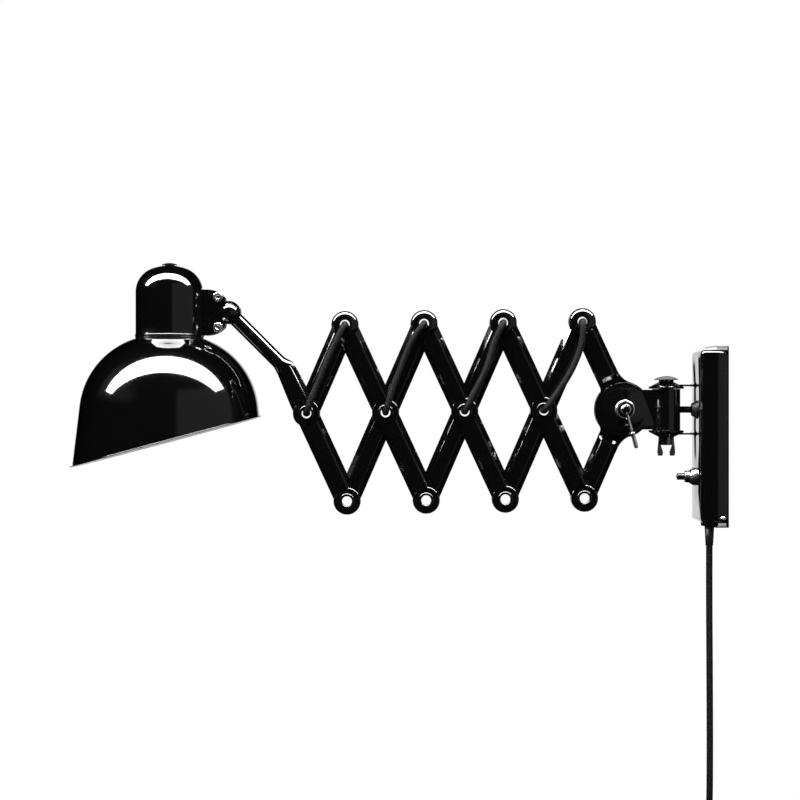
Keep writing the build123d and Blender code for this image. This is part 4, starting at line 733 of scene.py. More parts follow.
def pressed(node, patches, edge_y, body):
    """Sheet metal for a CAD link. The outer skin gets its thickness inwards, and what hangs below
    the open edge is cut off flat."""
    piece = surface(f"{node}_sheet", patches, body, LACQUER, replaced=(node,), closed=False)
    sheet(piece, SHEET)
    solid = bpy.data.meshes.new_from_object(piece.evaluated_get(bpy.context.evaluated_depsgraph_get()))
    spots = np.zeros(len(solid.vertices) * 3)
    solid.vertices.foreach_get("co", spots)
    spots[1::3] = np.minimum(spots[1::3], edge_y * MM)
    solid.vertices.foreach_set("co", spots)
    solid.set_sharp_from_angle(angle=math.radians(40))
    piece.modifiers.clear()
    piece.data = solid
    return piece


# %% Straight links


def straight_link(node, start, end, edge_y, stations, body):
    """Link that is straight from its first station to its last."""
    way = unit(end - start)
    patches = [channel(start, end, edge_y, stations[0], stations[-1], stations)]
    patches += [pad(start + way * station * MM, edge_y) for station in stations]
    return pressed(node, patches, edge_y, body)


for k in (4, 3, 2):
    stations = (0, FULL, 2 * FULL)
    straight_link(f"link_front_{k}", LOW[k], TOP[k - 1], FRONT_EDGE_Y, stations, f"front_{k}")
    straight_link(f"link_rear_{k}", LOW[k - 1], TOP[k], REAR_EDGE_Y, stations, f"rear_{k}")
straight_link("link_rear_1", MID[1], TOP[1], REAR_EDGE_Y, (0, FULL), "rear_1")
print("straight links", 7)

# %% [markdown]
# ## Hub links and the long arm
# The two links at the hub start as a flat disc that the hub's ears clamp, run through a waist with
# a wide fillet on one side and rise into the channel. The long arm is the first front link. It goes
# on past its middle pivot, narrows, and ends in an arc where the tube comes out of it.

# %% Hub links
HUB_DISC_R = 30.0
HUB_BORE_R = 4.05
CHANNEL_FROM_HUB = 33.0
NECK_END = CHANNEL_FROM_HUB + HALF_WIDTH
FILLET_WALL = 24.0
FILLET_ROOM = 6.0


def waist(along, fillet_r):
    """Half width of the flat neck: the disc's circle, then a fillet that touches it and the straight
    side, then the straight side. The fillet's centre is a radius away from both."""
    centre_t = HALF_WIDTH + fillet_r
    centre_s = math.sqrt((HUB_DISC_R + fillet_r) ** 2 - centre_t**2)
    touch = centre_s * HUB_DISC_R / (HUB_DISC_R + fillet_r)
    disc = np.sqrt(np.maximum(HUB_DISC_R**2 - along**2, 0))
    fillet = centre_t - np.sqrt(np.maximum(fillet_r**2 - (along - centre_s) ** 2, 0))
    return np.where(along < touch, disc, np.where(along < centre_s, fillet, HALF_WIDTH))


def hub_link(node, end, edge_y, wall_side, body):
    """Half link from the hub to its first pivot."""
    along = np.linspace(18, NECK_END, 60)[:, None]
    share = np.linspace(-1, 1, 25)[None, :]
    below = waist(along, FILLET_WALL if wall_side < 0 else FILLET_ROOM)
    above = waist(along, FILLET_WALL if wall_side > 0 else FILLET_ROOM)
    across = np.where(share < 0, share * below, share * above)
    along = np.broadcast_to(along, across.shape)
    neck = {"points": on_link(HUB, end, edge_y, along, across, np.full(across.shape, SHEET)),
            "keep": np.hypot(*middles(along, across)) > HUB_DISC_R - 2.5}
    disc = turned(np.array([(HUB_DISC_R, SHEET), (HUB_BORE_R, SHEET)]), HUB + DEEP * edge_y * MM, OUT, 96)
    run = channel(HUB, end, edge_y, CHANNEL_FROM_HUB, 60.0, (), ramp=True)
    rest = channel(HUB, end, edge_y, 60.0, FULL, (FULL,))
    return pressed(node, [neck, disc, run, rest, pad(end, edge_y)], edge_y, body)


hub_link("link_upper", TOP[4], FRONT_EDGE_Y, -1, "upper_link")
hub_link("link_lower", LOW[4], REAR_EDGE_Y, 1, "lower_link")

# %% Long arm
ARM_TIP_ALONG = FULL + 39.3
ARM_TIP_R = 15.4
ARM_TIP_HALF_WIDTH = 10.6


def arm_end():
    """Stretch past the last pad. The half width falls evenly to the tip's, and the rows end on the
    tip's arc, s = centre + sqrt(radius^2 - t^2)."""
    first = FULL + PAD_R
    last = ARM_TIP_ALONG + ARM_TIP_R
    half = np.concatenate([[0, 0.25], np.linspace(0.42, 0.64, 9), [0.8, 1.0]])
    share = np.concatenate([-half[:0:-1], half])[None, :]
    run = np.linspace(0, 1, 40)[:, None]
    width = HALF_WIDTH + (ARM_TIP_HALF_WIDTH - HALF_WIDTH) * run
    across = share * width
    limit = ARM_TIP_ALONG + np.sqrt(ARM_TIP_R**2 - across**2)
    along = first + (limit - first) * run
    height = lesser(CHANNEL_DEPTH + 0 * across, (width - np.abs(across)) * CHANNEL_DEPTH / BEVEL)
    return {"points": on_link(LOW[1], MID[1], FRONT_EDGE_Y, along, across, np.maximum(height, 0))}


arm_patches = [channel(LOW[1], MID[1], FRONT_EDGE_Y, 0, FULL + PAD_R, (0, FULL)), arm_end(),
               pad(LOW[1], FRONT_EDGE_Y), pad(MID[1], FRONT_EDGE_Y)]
pressed("long_arm", arm_patches, FRONT_EDGE_Y, "long_arm")
print("hub links and long arm", 3)

# %% [markdown]
# ## Hollow rivets and caps
# The pivots are hollow rivets. Their rims are rolled over at both ends, and a bush keeps the two
# links apart. The flex passes through them. At the top line each one has a domed cap with a hole.
# All of them are turned profiles, so their rings of light are round.

# %% Rivets
RIVET_BORE_R = 5.2
RIVET_R = 6.0
LIP_R = 8.3
LIP_HEIGHT = 1.25
RIVET_FRONT = 7.05
RIVET_BACK = -2.35
BUSH_R = 8.0
CAP_R = 14.0
CAP_HEIGHT = 5.0
CAP_HOLE_R = 5.9
CAP_SHEET = 1.2


def washer(inner, outer, low, high, ease, steps=3):
    """Flat ring from its inner to its outer radius with its edges eased."""
    start = ((inner + outer) / 2, low)
    return rounded([start, (outer, low), (outer, high), (inner, high), (inner, low), start], ease, steps)


def bulge(low, high, height, level, steps=14):
    """Half ellipse over a flat base, from its inner radius to its outer one."""
    angle = np.linspace(math.pi, 0, steps + 1)
    radius = (low + high) / 2 + (high - low) / 2 * np.cos(angle)
    return np.stack([radius, level + height * np.sin(angle)], -1)


def rivet(pivot_at):
    """Hollow rivet with two rolled rims, and its bush between the links' webs."""
    front_rim = bulge(RIVET_BORE_R, LIP_R, LIP_HEIGHT, RIVET_FRONT)
    back_rim = bulge(RIVET_BORE_R, LIP_R, -LIP_HEIGHT, RIVET_BACK)[::-1]
    tube = np.array([*front_rim, (RIVET_R, RIVET_FRONT), (RIVET_R, RIVET_BACK), *back_rim, front_rim[0]])
    bush = washer(PIVOT_BORE_R, BUSH_R, -0.75, 5.45, 0.25)
    return [turned(outline, pivot_at, OUT) for outline in (tube, bush)]


def cap(pivot_at):
    """Domed cap: a quarter ellipse from its rim up to its hole, and the same one sheet inside."""
    angle = np.radians(np.linspace(0, 90, 19))
    outer, inner = (np.stack([CAP_HOLE_R + (CAP_R - CAP_HOLE_R - sheet_in) * np.cos(angle),
                              RIVET_FRONT + (CAP_HEIGHT - sheet_in) * np.sin(angle)], -1)
                    for sheet_in in (0, CAP_SHEET))
    return turned(np.array([*outer, *inner[::-1], outer[0]]), pivot_at, OUT, 96)


def rivets(node, body, capped, *places):
    """Rivets of one CAD node as one piece. The first place has the cap."""
    patches = [patch for place in places for patch in rivet(place)]
    if capped:
        patches.append(cap(places[0]))
    surface(f"{node}_turned", patches, body, LACQUER, replaced=(node,), sharp=40)


for k in (4, 3, 2):
    rivets(f"rivets_{k}", f"rear_{k}", True, TOP[k], MID[k], LOW[k - 1])
rivets("rivets_1", "rear_1", True, TOP[1], MID[1])
rivets("rivet_lower", "lower_link", False, LOW[4])
print("rivets", 12)

# %% [markdown]
# ## The flex along the arm
# One cloth-covered flex winds along the scissor: in front of a rear link, through a hollow rivet,
# behind the next front link and back again. Each run is a short spline that bows a little, as a
# flex does when it has been threaded by hand. It rides on the link that it lies on, and ends a hair
# short of the middle of its rivet, so that two runs turn against each other without touching.

# %% Flex runs
FLEX_R = 3.5
FLEX_OUT = 16.5
FLEX_BACK = 13.5
FLEX_TURN = 16.0
HUB_CAP_R = 14.5
HUB_FACE_Y = 12.3
FLEX_CAP_Y = HUB_FACE_Y + 4.5
END_GAP = 0.06


def beside(start, end, share, side, depth):
    """Point a share of the way along a line in the side view, moved sideways and in depth."""
    way = unit(end - start)
    across = np.array([-way[2], 0, way[0]])
    return start + (end - start) * share + (across * side + DEEP * depth) * MM


def flex(node, points, body):
    """Run of flex that stands for a CAD one."""
    line = along_spline(np.array(points))
    return surface(f"{node}_sleeve", [carried(line, FLEX_R * MM)], body, SLEEVE,
                   replaced=(node,))


FRONT_BOWS = {
    1: [(0.30, 1.2), (0.68, 1.8)],
    2: [(0.24, 2.8), (0.50, 4.3), (0.78, 5.4)],
    3: [(0.22, -1.2), (0.50, -3.2), (0.78, 1.6)],
    4: [(0.22, -5.0), (0.50, -9.6), (0.78, -8.6)],
}
BACK_BOWS = [(0.25, -2.2), (0.52, -3.4), (0.78, -1.8)]


def out_of_bore(place, way, near, far):
    """Control points where a run comes out of a rivet: from just past its middle, straight out, and
    round the corner."""
    return [place + way * reach * MM for reach in (END_GAP, near, far)]


for k, bows in FRONT_BOWS.items():
    middle = [beside(MID[k], TOP[k], share, side, -FLEX_OUT) for share, side in bows]
    flex(f"flex_front_{k}", [*out_of_bore(MID[k], OUT, 9, FLEX_OUT), *middle,
                             *out_of_bore(TOP[k], OUT, 9, FLEX_OUT + 0.5)[::-1]], f"rear_{k}")
for k in (4, 3, 2):
    middle = [beside(MID[k], TOP[k - 1], share, side, FLEX_BACK) for share, side in BACK_BOWS]
    flex(f"flex_back_{k}", [*out_of_bore(MID[k], DEEP, 8, FLEX_TURN), *middle,
                            *out_of_bore(TOP[k - 1], DEEP, 8, FLEX_TURN)[::-1]], f"front_{k}")

# %% Flex at the hub, in the arm and in the head
flex("flex_back_hub", [
    beside(HUB, TOP[4], (HUB_CAP_R + 0.15) / FULL, 0, FLEX_CAP_Y),
    beside(HUB, TOP[4], 0.30, 0, FLEX_CAP_Y + 0.3),
    beside(HUB, TOP[4], 0.52, 2.6, FLEX_CAP_Y - 1.8),
    beside(HUB, TOP[4], 0.78, 2.0, FLEX_BACK + 0.8),
    beside(HUB, TOP[4], 1.0, 0, FLEX_TURN),
    TOP[4] + DEEP * END_GAP * MM,
], "upper_link")
in_tube = DEEP * HEAD_Y * MM
flex("arm_flex", [
    *out_of_bore(MID[1], DEEP, 8, FLEX_TURN),
    MID[1] + (ARM_WAY * 17 + DEEP * FLEX_BACK) * MM,
    MID[1] + (ARM_WAY * 31 + DEEP * (FLEX_BACK - 2.2)) * MM,
    MID[1] + (ARM_WAY * 44 + DEEP * 4.8) * MM,
    ELBOW + ARM_WAY * 2 * MM + in_tube,
    ELBOW + TUBE_WAY * 16 * MM + in_tube,
    BALL - TUBE_WAY * 3 * MM,
], "long_arm")
flex("head_flex", [
    BALL - RIGHT * 11.2 * MM,
    BALL + np.array([-18.5, 0, 0.4]) * MM,
    BALL + np.array([-27.0, 0, 3.6]) * MM,
    BALL + np.array([-36.0, 0, 4.2]) * MM,
    BALL + np.array([-64.1 + 19.55, 0, 4.2]) * MM,
], "head")

# %% Flex from the wall to the hub
COVER_FACE_X = -29.1
GROMMET_PROUD = 5.3
hub_z = HUB[2] / MM
swivel_z = SWIVEL[2] / MM
line = along_spline(MM * np.array([
    (COVER_FACE_X - GROMMET_PROUD, 0, swivel_z),
    (-42.0, 2.5, swivel_z),
    (-46.5, 13.5, swivel_z),
    (-58.0, 20.0, swivel_z),
    (-70.0, 21.5, swivel_z),
    (-82.0, FLEX_CAP_Y, swivel_z),
    (HUB[0] / MM + HUB_CAP_R + 0.15, FLEX_CAP_Y + 0.2, hub_z),
]))
wall_flex = surface("wall_flex_sleeve", [carried(line, FLEX_R * MM)], None, SLEEVE,
                    replaced=("wall_flex",))
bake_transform(wall_flex)
print("flex runs", 11)

# %% [markdown]
# ## The cover and its fittings
# The cover is deep drawn, so every outer edge is one soft radius and its flat face mirrors what
# stands on it. Its skin is a rectangle that shrinks as the profile goes round the edge, with the
# corner's radius shrinking by the same amount. The fittings on it are turned pieces.

# %% Cover
COVER_HALF_Y, COVER_HALF_Z = 33.0, 91.3
COVER_EDGE = 5.0
COVER_BACK_X = -1.5
COVER_WALL = 1.2
SLOT_HALF_Y = 11.3
SLOT_HALF_Z = 1.25
EAR_OFFSET = 25.7
FACE_ROWS = (-60, -30)


def cover_skin():
    """Side walls and rounded edge as one grid: rows go round, columns go out along the profile."""
    turn = np.radians(np.linspace(0, 90, 10))
    inset = np.concatenate([[0, 0, 0], COVER_EDGE * (1 - np.cos(turn))])
    depth = np.concatenate([[COVER_BACK_X, -12, COVER_EDGE + COVER_FACE_X + 0.4],
                            COVER_FACE_X + COVER_EDGE - COVER_EDGE * np.sin(turn)])
    corner = np.radians(np.linspace(0, 90, 9))
    ways = np.concatenate([corner + quarter * math.pi / 2 for quarter in range(4)])
    ways = np.append(ways, ways[0])
    signs = np.repeat([(1, 1), (-1, 1), (-1, -1), (1, -1)], 9, axis=0)
    signs = np.concatenate([signs, signs[:1]])
    radius = (COVER_EDGE - inset)[None, :]
    y = signs[:, :1] * (COVER_HALF_Y - COVER_EDGE) + radius * np.cos(ways)[:, None]
    z = signs[:, 1:] * (COVER_HALF_Z - COVER_EDGE) + radius * np.sin(ways)[:, None]
    return {"points": np.stack([np.broadcast_to(depth, y.shape), y, z], -1) * MM}


def cover_face():
    """Flat face with two slots for the ears of the bracket."""
    flat_y, flat_z = COVER_HALF_Y - COVER_EDGE, COVER_HALF_Z - COVER_EDGE
    slots = [swivel_z + side * EAR_OFFSET for side in (-1, 1)]
    edges = [slot + side * SLOT_HALF_Z for slot in slots for side in (-1, 1)]
    z = np.sort([-flat_z, *FACE_ROWS, *edges, flat_z])
    y, z = np.meshgrid([-flat_y, -SLOT_HALF_Y, 0, SLOT_HALF_Y, flat_y], z)
    middle_y, middle_z = middles(y, z)
    in_slot = np.min([np.abs(middle_z - slot) for slot in slots], axis=0) < SLOT_HALF_Z
    keep = ~(in_slot & (np.abs(middle_y) < SLOT_HALF_Y))
    return {"points": np.stack([np.full(y.shape, COVER_FACE_X), y, z], -1) * MM, "keep": keep}


cover = surface("cover_drawn", [cover_skin(), cover_face()], "wall_unit", LACQUER,
                replaced=("cover",))
sheet(cover, COVER_WALL)
print("cover faces", len(cover.data.polygons))

# %% Turned fittings


def turned_piece(node, outlines, origin, way, body, *materials, count=72, seconds=None):
    """Piece made of closed turned outlines, radius and height in millimetres, that stands for a CAD
    node. The seconds say which outlines take the second material."""
    patches = [turned(np.asarray(outline, float), origin, way, count) for outline in outlines]
    for patch, second in zip(patches, seconds or []):
        patch["second"] = np.full([size - 1 for size in patch["points"].shape[:2]], second)
    return surface(f"{node}_turned", patches, body, *materials, replaced=(node,), sharp=38)


FACE_WAY = -RIGHT
grommet_at = np.array([COVER_FACE_X, 0, swivel_z]) * MM
grommet_outline = [
    (3.55, -3.2), (3.55, 3.3), (4.35, 5.3), *arc((6.0, 4.1), 1.2, 90, 20, 5),
    *arc((5.3, 0.2), 3.5, 48, 14, 6), (9.75, 0.9), (9.75, 0), (6, 0), (6, -1.2), (8, -1.2), (7, -3.2),
    (3.55, -3.2),
]
turned_piece("flex_grommet", [grommet_outline], grommet_at, FACE_WAY, "wall_unit", RUBBER)

BARREL_Z = -43.2
barrel_at = np.array([COVER_FACE_X, 0, BARREL_Z]) * MM
barrel_outline = rounded([
    (3.55, 5), (3.55, 12.9), (5.4, 12.9), (6.0, 12.3), (6.6, 7.7), (8.3, 5.6), (9.35, 2.6), (9.35, 0),
    (5, 0), (5, -1.2), (3.55, -1.2), (3.55, 5),
], [0.25, 0.3, 0.3, 0.8, 1.5, 1.2, 0.3, 0.3, 0.2, 0.2], 5)
turned_piece("switch_barrel", [barrel_outline], barrel_at, FACE_WAY, "wall_unit", CHROME)
button_outline = [(0, -3.2), (3.5, -3.2), (3.5, 19.6), *arc((2.3, 19.7), 1.2, 10, 78, 6), (1.2, 21.25),
                  (0, 21.4)]
turned_piece("switch_button", [button_outline], barrel_at, FACE_WAY, "switch_button", BLACK_PLASTIC, count=48)

gland_at = np.array([GLAND[0], 0, -COVER_HALF_Z]) * MM
gland_outline = rounded([
    (3.55, 0), (3.55, 4.6), (9.25, 4.6), (9.25, 0), (6.25, 0), (6.25, -1.2), (8.25, -1.2), (8.25, -6.2),
    (3.55, -6.2), (3.55, 0),
], [0.3, 1.6, 0.4, 0.1, 0.1, 0.4, 0.4, 0.3], 6)
turned_piece("cord_gland", [gland_outline], gland_at, -UP, "wall_unit", BLACK_PLASTIC)
print("fittings of the cover", 4)

# %% Screws of the cover, its plate and what sits inside
softened("back_plate", "wall_unit", LACQUER, 0.25)
softened("cover_screws", "wall_unit", CHROME, 0.15)
softened("wall_bracket", "wall_unit", LACQUER, 0.35)
softened("wing_nut", "wing_nut", CHROME, 0.35)
softened("knuckle", "swivel_knuckle", LACQUER, 0.4)
SHOWN_AS_THEY_ARE = {"terminal_block": PALE_PLASTIC, "switch_body": BLACK_PLASTIC, "hub_bushes": STEEL,
                     "plug_pins": CHROME}
for node, material in SHOWN_AS_THEY_ARE.items():
    for place in nodes[node].material_slots:
        place.material = material

# %% [markdown]
# ## Swivel bolt, hub bolt, spring and lever
# The chrome fittings sit close together at the hub and catch the light as rings. The bolt's head is
# a shallow dome, so its highlight is one patch. The spring is a real helix: its middle line is
# cos, sin and a height that grows with the angle, and its ends run straight into their seats.

# %% Swivel bolt


def dome_arc(rim_r, low, top, steps=12):
    """Arc from a rim up to the axis, centred on the axis."""
    rise = top - low
    radius = (rim_r**2 + rise**2) / (2 * rise)
    half = math.degrees(math.asin(rim_r / radius))
    return arc((0, top - radius), radius, 90 - half, 90, steps)


turned_piece("swivel_bolt", [
    [(0, 29.4), (8, 29.4), (8, 31.4), (0, 31.4)],
    [(0, 31.5), (12.0, 31.5), *arc((12.05, 32.2), 0.8, -60, 0, 4), *dome_arc(12.85, 32.6, 36.0)],
    [(0, -37), (4.5, -37), (4.95, -36.5), (4.95, 29.5), (0, 29.5)],
], SWIVEL, UP, "wall_unit", CHROME, LACQUER, seconds=(True, False, False))

# %% Hub bolt
SPRING_BASE, SPRING_END = 13.3, 28.3

turned_piece("hub_bolt", [
    [(0, -12.2), (4, -12.2), (4, 33.0), (3.5, 33.5), (0, 33.5)],
    washer(HUB_BORE_R, 9.2, HUB_FACE_Y, SPRING_BASE, 0.2),
    washer(HUB_BORE_R, 8.2, SPRING_END, SPRING_END + 1, 0.2),
], HUB, OUT, "swivel_knuckle", LACQUER)
cap_outline = np.array([(0, HUB_FACE_Y), (HUB_CAP_R, HUB_FACE_Y), (HUB_CAP_R, 18.4),
                        *arc((HUB_CAP_R - 2.0, 18.5), 2.0, 10, 70, 8), *dome_arc(12.9, 20.4, 21.3, 8)])
surface("hub_cap_turned", [turned(cap_outline, HUB, DEEP)], "swivel_knuckle", LACQUER)

# %% Hub spring
SPRING_R = 9.3
SPRING_WIRE_R = 0.9
SPRING_TURNS = 3.75
SPRING_TAIL = 1.8
SPRING_BEND = 1.35


def spring_line():
    """Helix about the hub bolt with a straight tail at each end."""
    steps = int(SPRING_TURNS * 24)
    angle = np.linspace(0, 2 * math.pi * SPRING_TURNS, steps + 1)
    rise = SPRING_END - SPRING_BASE - 2 * SPRING_TAIL - 2 * SPRING_BEND
    height = SPRING_BASE + SPRING_TAIL + SPRING_BEND + rise * angle / angle[-1]
    helix = np.stack([SPRING_R * np.cos(angle), -height, SPRING_R * np.sin(angle)], -1)
    start_way = unit(helix[1] - helix[0])
    end_way = unit(helix[-1] - helix[-2])
    first, last = helix[0] - start_way * SPRING_BEND, helix[-1] + end_way * SPRING_BEND
    low, high = first.copy(), last.copy()
    low[1], high[1] = -SPRING_BASE, -SPRING_END
    return HUB + np.array([low, (low + first) / 2, first, *helix, last, (last + high) / 2, high]) * MM


wire = carried(along_spline(spring_line()), SPRING_WIRE_R * MM, 12)
surface("hub_spring_wound", [wire], "swivel_knuckle", CHROME, replaced=("hub_spring",))

# %% Clamp lever
LEVER_LEAN = 15.5
EYE_LOW = 29.35
lean = math.radians(LEVER_LEAN)
lever_way = np.array([math.sin(lean), 0, -math.cos(lean)])
lever_root = HUB - DEEP * (EYE_LOW + 1.5) * MM
eye = turned(washer(HUB_BORE_R, 5.3, EYE_LOW, EYE_LOW + 3, [0.3, 0.3, 0.15, 0.15], 4), HUB, OUT)
rod_outline = np.array([
    (0, 4.6), (1.35, 4.6), (1.35, 25.0), (2.8, 25.0),
    *arc((2.8, 25.4), 0.4, -90, 0, 3), *arc((2.8, 26.8), 0.4, 0, 90, 3), (2.2, 27.3), (2.2, 40.6),
    *arc((0.8, 40.6), 1.4, 0, 90, 5), (0, 42.0),
])
rod = turned(rod_outline, lever_root, lever_way, 32)
surface("clamp_lever_turned", [eye, rod], "clamp_lever", CHROME, replaced=("clamp_lever",), sharp=38)
print("hub fittings", 4)

# %% [markdown]
# ## Tube, ball and clamp
# The tube is bent once. Its line is two straight runs with an arc between them, and it has a wall,
# because its open mouth shows from behind. Where it leaves the arm it grows out of a flat oval, a
# blend from one section to the other that starts and stops without a crease.

# %% Tube
TUBE_R = 7.85
TUBE_BORE_R = 6.65
TUBE_MOUTH = 40.0
TUBE_BEND_R = 30.0
JOINT_R = 12.3
FAIRING_LENGTH = 13.0
FAIRING_HALF_DEPTH = 5.4
FAIRING_Y = -1.2


def bent(points, radius, steps=16):
    """Line through three points with an arc of a radius at the middle one, in steps of a few
    millimetres along the straight runs."""
    before, corner, after = points
    curve = corner_arc(before, corner, after, radius, steps)[0]
    run_in = before + (curve[0] - before) * np.linspace(0, 1, 6)[:-1, None]
    run_out = curve[-1] + (after - curve[-1]) * np.linspace(0, 1, 12)[1:, None]
    return np.concatenate([run_in, curve, run_out])


def pipe(line, outer, inner, sides=48):
    """Tube with a wall: its outer and inner skins, and a flat ring at each end."""
    skins = [carried(line, radius * MM, sides, capped=False) for radius in (outer, inner)]
    rings = [{"points": np.stack([skin["points"][end] for skin in skins])} for end in (0, -1)]
    return skins + rings


def fairing():
    """Blend from a flat oval at the elbow to the tube's circle: both sections share their angle,
    and a point goes from one to the other by 3 v^2 - 2 v^3."""
    angle = np.linspace(0, 2 * math.pi, 49)[None, :, None]
    share = np.linspace(0, 1, 14)[:, None, None]
    side = np.cross(TUBE_WAY, DEEP)
    oval = FAIRING_HALF_DEPTH * np.cos(angle) * DEEP + ARM_TIP_HALF_WIDTH * np.sin(angle) * side
    wide = ELBOW + (DEEP * FAIRING_Y + oval) * MM
    tube = ELBOW + in_tube + TUBE_WAY * FAIRING_LENGTH * MM
    narrow = tube + TUBE_R * (np.cos(angle) * DEEP + np.sin(angle) * side) * MM
    ease = share * share * (3 - 2 * share)
    along = TUBE_WAY * FAIRING_LENGTH * MM * (share - ease)
    return {"points": wide + (narrow - wide) * ease + along}


tube_start = MID[1] + ARM_WAY * TUBE_MOUTH * MM + in_tube
tube_end = BALL - TUBE_WAY * (JOINT_R + 0.3) * MM
tube_line = bent([tube_start, ELBOW + in_tube, tube_end], TUBE_BEND_R * MM)
surface("arm_tube_bent", pipe(tube_line, TUBE_R, TUBE_BORE_R), "long_arm", LACQUER,
        replaced=("arm_tube",), sharp=38)
surface("arm_fairing", [fairing()], "long_arm", LACQUER)

# %% Ball and clamp
softened("ball", "ball", DARK_STEEL, 0.3)
PLATE_CENTRE_X = -22.8
PLATE_R = 24.5
BOSS_R = 13.5


def rounder(piece):
    """Pulls the corners of a clamp plate in to a circle. Its long straight edges are cut into short
    ones first, and the boss round the ball stays as it is."""
    shape = bmesh.new()
    shape.from_mesh(piece.data)
    long = [edge for edge in shape.edges if edge.calc_length() > 8 * MM]
    bmesh.ops.subdivide_edges(shape, edges=long, cuts=9)
    for vert in shape.verts:
        x, _, z = (vert.co - Vector(BALL)) / MM
        reach = math.hypot(x - PLATE_CENTRE_X, z)
        if x > PLATE_CENTRE_X and reach > PLATE_R and math.hypot(x, z) > BOSS_R:
            vert.co.x = BALL[0] + (PLATE_CENTRE_X + (x - PLATE_CENTRE_X) * PLATE_R / reach) * MM
            vert.co.z = BALL[2] + z * PLATE_R / reach * MM
    shape.to_mesh(piece.data)
    shape.free()


for node in ("clamp_plate_front", "clamp_plate_rear"):
    rounder(softened(node, "head", LACQUER, 0.4))
softened("clamp_screws", "head", CHROME, 0.3)

# %% [markdown]
# ## Dome, shade and bulb
# Dome and shade are spun sheet. The dome is two arcs and a straight side with a bead at its foot.
# The shade's flank is one long arc that runs out into a straight slope, and a slanted plane cuts it
# off, so every angle round it has its own last height. Outside it is black, inside white.

# %% Dome
AXIS = BALL - RIGHT * 64.1 * MM
DOME_BASE = -26.0
SPRING_LINE = 21.9
CROWN_R = 52.5
DOME_R = 36.1
SHOULDER_R = 26.885
DOME_WALL = 1.2
SLOT_HALF = 7.6
SLOT_TOP = 24.8


def dome():
    """Outer skin from the foot's bead up to the knob's hole. The slot is left out on the ball's side."""
    lean = math.atan2(SPRING_LINE + 2.0, DOME_R - SHOULDER_R)
    crown_end = math.degrees(lean)
    slot = math.degrees(math.asin(SLOT_HALF / DOME_R))
    slot_lean = math.degrees(math.asin((SLOT_TOP - SPRING_LINE) / SHOULDER_R))
    shoulder = (DOME_R - SHOULDER_R, SPRING_LINE)
    outline = np.array([
        (36.2, DOME_BASE), *arc((36.2, DOME_BASE + 0.7), 0.7, -90, 0, 4), *arc((36.2, -24.1), 0.7, 0, 90, 4),
        (DOME_R, -23.2), (DOME_R, -10), (DOME_R, 5), (DOME_R, 15), (DOME_R, SPRING_LINE - 0.5),
        *arc(shoulder, SHOULDER_R, 0, slot_lean, 3),
        *arc(shoulder, SHOULDER_R, slot_lean, crown_end, 24)[1:],
        *arc((0, -2.0), CROWN_R, crown_end, 90 - math.degrees(math.asin(5.05 / CROWN_R)), 16)[1:],
    ])
    side = np.concatenate([np.linspace(slot, 360 - slot, 91), [360, 360 + slot]])
    patch = turned(outline, AXIS, UP, angles=side)
    rows, columns = patch["points"].shape[0] - 1, patch["points"].shape[1] - 1
    high = (outline[:-1, 1] + outline[1:, 1]) / 2 > SLOT_TOP
    keep = np.ones((rows, columns), bool)
    keep[-2:] = high[None, :]
    patch["keep"] = keep
    return patch


dome_piece = surface("dome_spun", [dome()], "head", LACQUER, replaced=("dome_housing",),
                     closed=False)
sheet(dome_piece, DOME_WALL)
knob_outline = [(0, 30.1), (5, 30.1), (5, 50.55), (7.9, 50.55), *arc((7.8, 51.05), 0.5, -80, 0, 4),
                *dome_arc(8.3, 51.45, 53.15)]
turned_piece("dome_knob", [knob_outline], AXIS, UP, "head", LACQUER)

# %% Shade
SHADE_TOP = -27.9
SHADE_WALL = 1.0
SHADE_NECK_R = 19.55
SHADE_ARC_R = 86.0
SHADE_SLOPE = math.radians(6.8)
SHADE_ARC_DROP = 71.0
RIM_CENTRE = -137.6
RIM_TILT = math.tan(math.radians(15))
LIP_OUT = 2.6
LIP_HALF = 0.8
ARC_CENTRE_Z = SHADE_TOP - SHADE_ARC_DROP - SHADE_ARC_R * math.sin(SHADE_SLOPE)
ARC_CENTRE_R = 38.0 - math.sqrt(SHADE_ARC_R**2 - (SHADE_TOP - ARC_CENTRE_Z) ** 2)


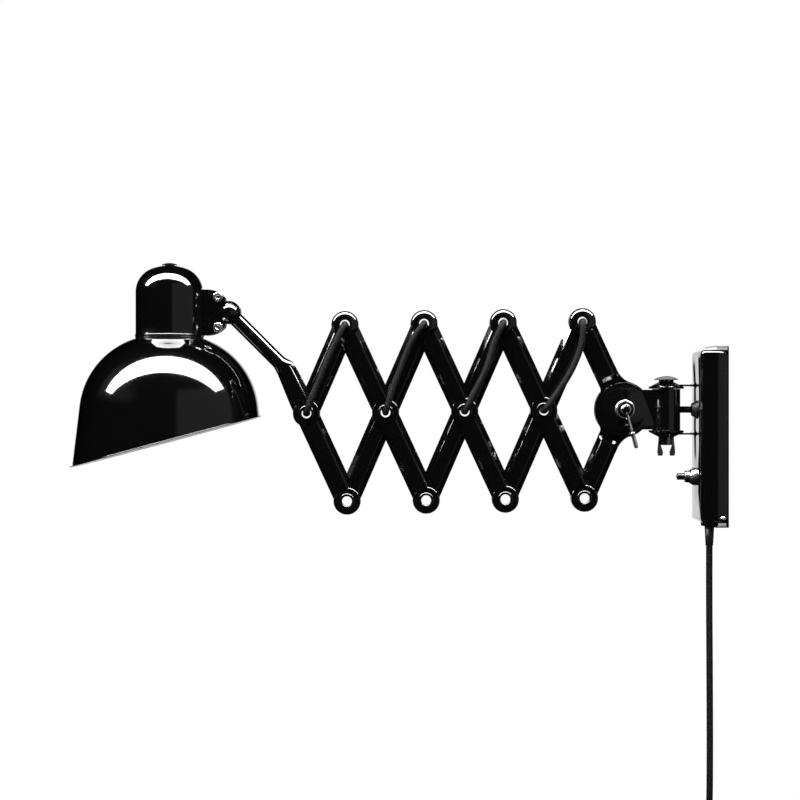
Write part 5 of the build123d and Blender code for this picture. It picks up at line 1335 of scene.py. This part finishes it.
def flank(inset, top, around, lift):
    """Radius and height down one skin of the shade at each angle round it: an arc to the knee, then
    a straight slope to where the slanted plane cuts it. The cut is found by going along the slope
    until it meets the plane, z = centre + lift + r cos(angle) tan(tilt)."""
    radius = SHADE_ARC_R - inset
    high = math.asin((top - ARC_CENTRE_Z) / radius)
    lean = np.linspace(high, SHADE_SLOPE, 40)
    knee_r = ARC_CENTRE_R + radius * math.cos(SHADE_SLOPE)
    knee_z = ARC_CENTRE_Z + radius * math.sin(SHADE_SLOPE)
    fall = math.tan(SHADE_SLOPE)
    pull = np.cos(around) * RIM_TILT
    cut_z = (RIM_CENTRE + lift + pull * (knee_r + knee_z * fall)) / (1 + pull * fall)
    share = np.linspace(0, 1, 12)[None, 1:]
    z = np.concatenate([np.broadcast_to(ARC_CENTRE_Z + radius * np.sin(lean), (len(around), 40)),
                        knee_z + (cut_z[:, None] - knee_z) * share], axis=1)
    r = np.concatenate([np.broadcast_to(ARC_CENTRE_R + radius * np.cos(lean), (len(around), 40)),
                        knee_r + (knee_z - z[:, 40:]) * fall], axis=1)
    return np.stack([r, z], -1)


def shade():
    """Closed skin: neck hole, outer flank, the lip as half an ellipse, then back up inside in white."""
    around = np.linspace(0, 2 * math.pi, 145)
    outer = flank(0, SHADE_TOP, around, 2 * LIP_HALF)
    inner = flank(SHADE_WALL, SHADE_TOP - SHADE_WALL, around, 0)[:, ::-1]
    turn = np.linspace(0, math.pi, 13)[None, :]
    low = flank(0, SHADE_TOP, around, 0)[:, -1:]
    lip_r = low[..., 0] + LIP_OUT * np.sin(turn)
    lip_z = RIM_CENTRE + lip_r * np.cos(around)[:, None] * RIM_TILT + LIP_HALF + LIP_HALF * np.cos(turn)
    ends = [np.broadcast_to(point, (len(around), 1, 2)) for point in (
        (SHADE_NECK_R, SHADE_TOP), (37.0, SHADE_TOP), (37.0, SHADE_TOP - SHADE_WALL),
        (SHADE_NECK_R, SHADE_TOP - SHADE_WALL), (SHADE_NECK_R, SHADE_TOP))]
    outline = np.concatenate([*ends[:2], outer, np.stack([lip_r, lip_z], -1), inner, *ends[2:]], axis=1)
    spin = np.stack([np.cos(around), np.sin(around)], -1)[:, None, :]
    points = np.concatenate([outline[..., :1] * spin, outline[..., 1:]], -1)
    black = 2 + outer.shape[1] + 12
    second = np.zeros((len(around) - 1, outline.shape[1] - 1), bool)
    second[:, black:] = True
    return {"points": AXIS + points * MM, "second": second}


surface("shade_spun", [shade()], "head", LACQUER, ENAMEL, replaced=("shade",), sharp=50)
softened("shade_ring", "head", BLACK_PLASTIC, 0.4)
softened("lampholder", "head", BLACK_PLASTIC, 0.4)

# %% Bulb
GLOBE_R = 30.0
GLOBE_Z = -97.0
TOUCH = 38.0

globe = arc((0, GLOBE_Z), GLOBE_R, -90, TOUCH, 40)
stem = rounded([globe[-1], (17.2, -58.0), (14, -43), (13, -37), (13, 5)], [20, 8, 2], 8)[1:]
turned_piece("bulb", [[*globe, *stem, (5, 9), (0, 9)]], AXIS, UP, "head", GLASS)
print("head pieces", 6)
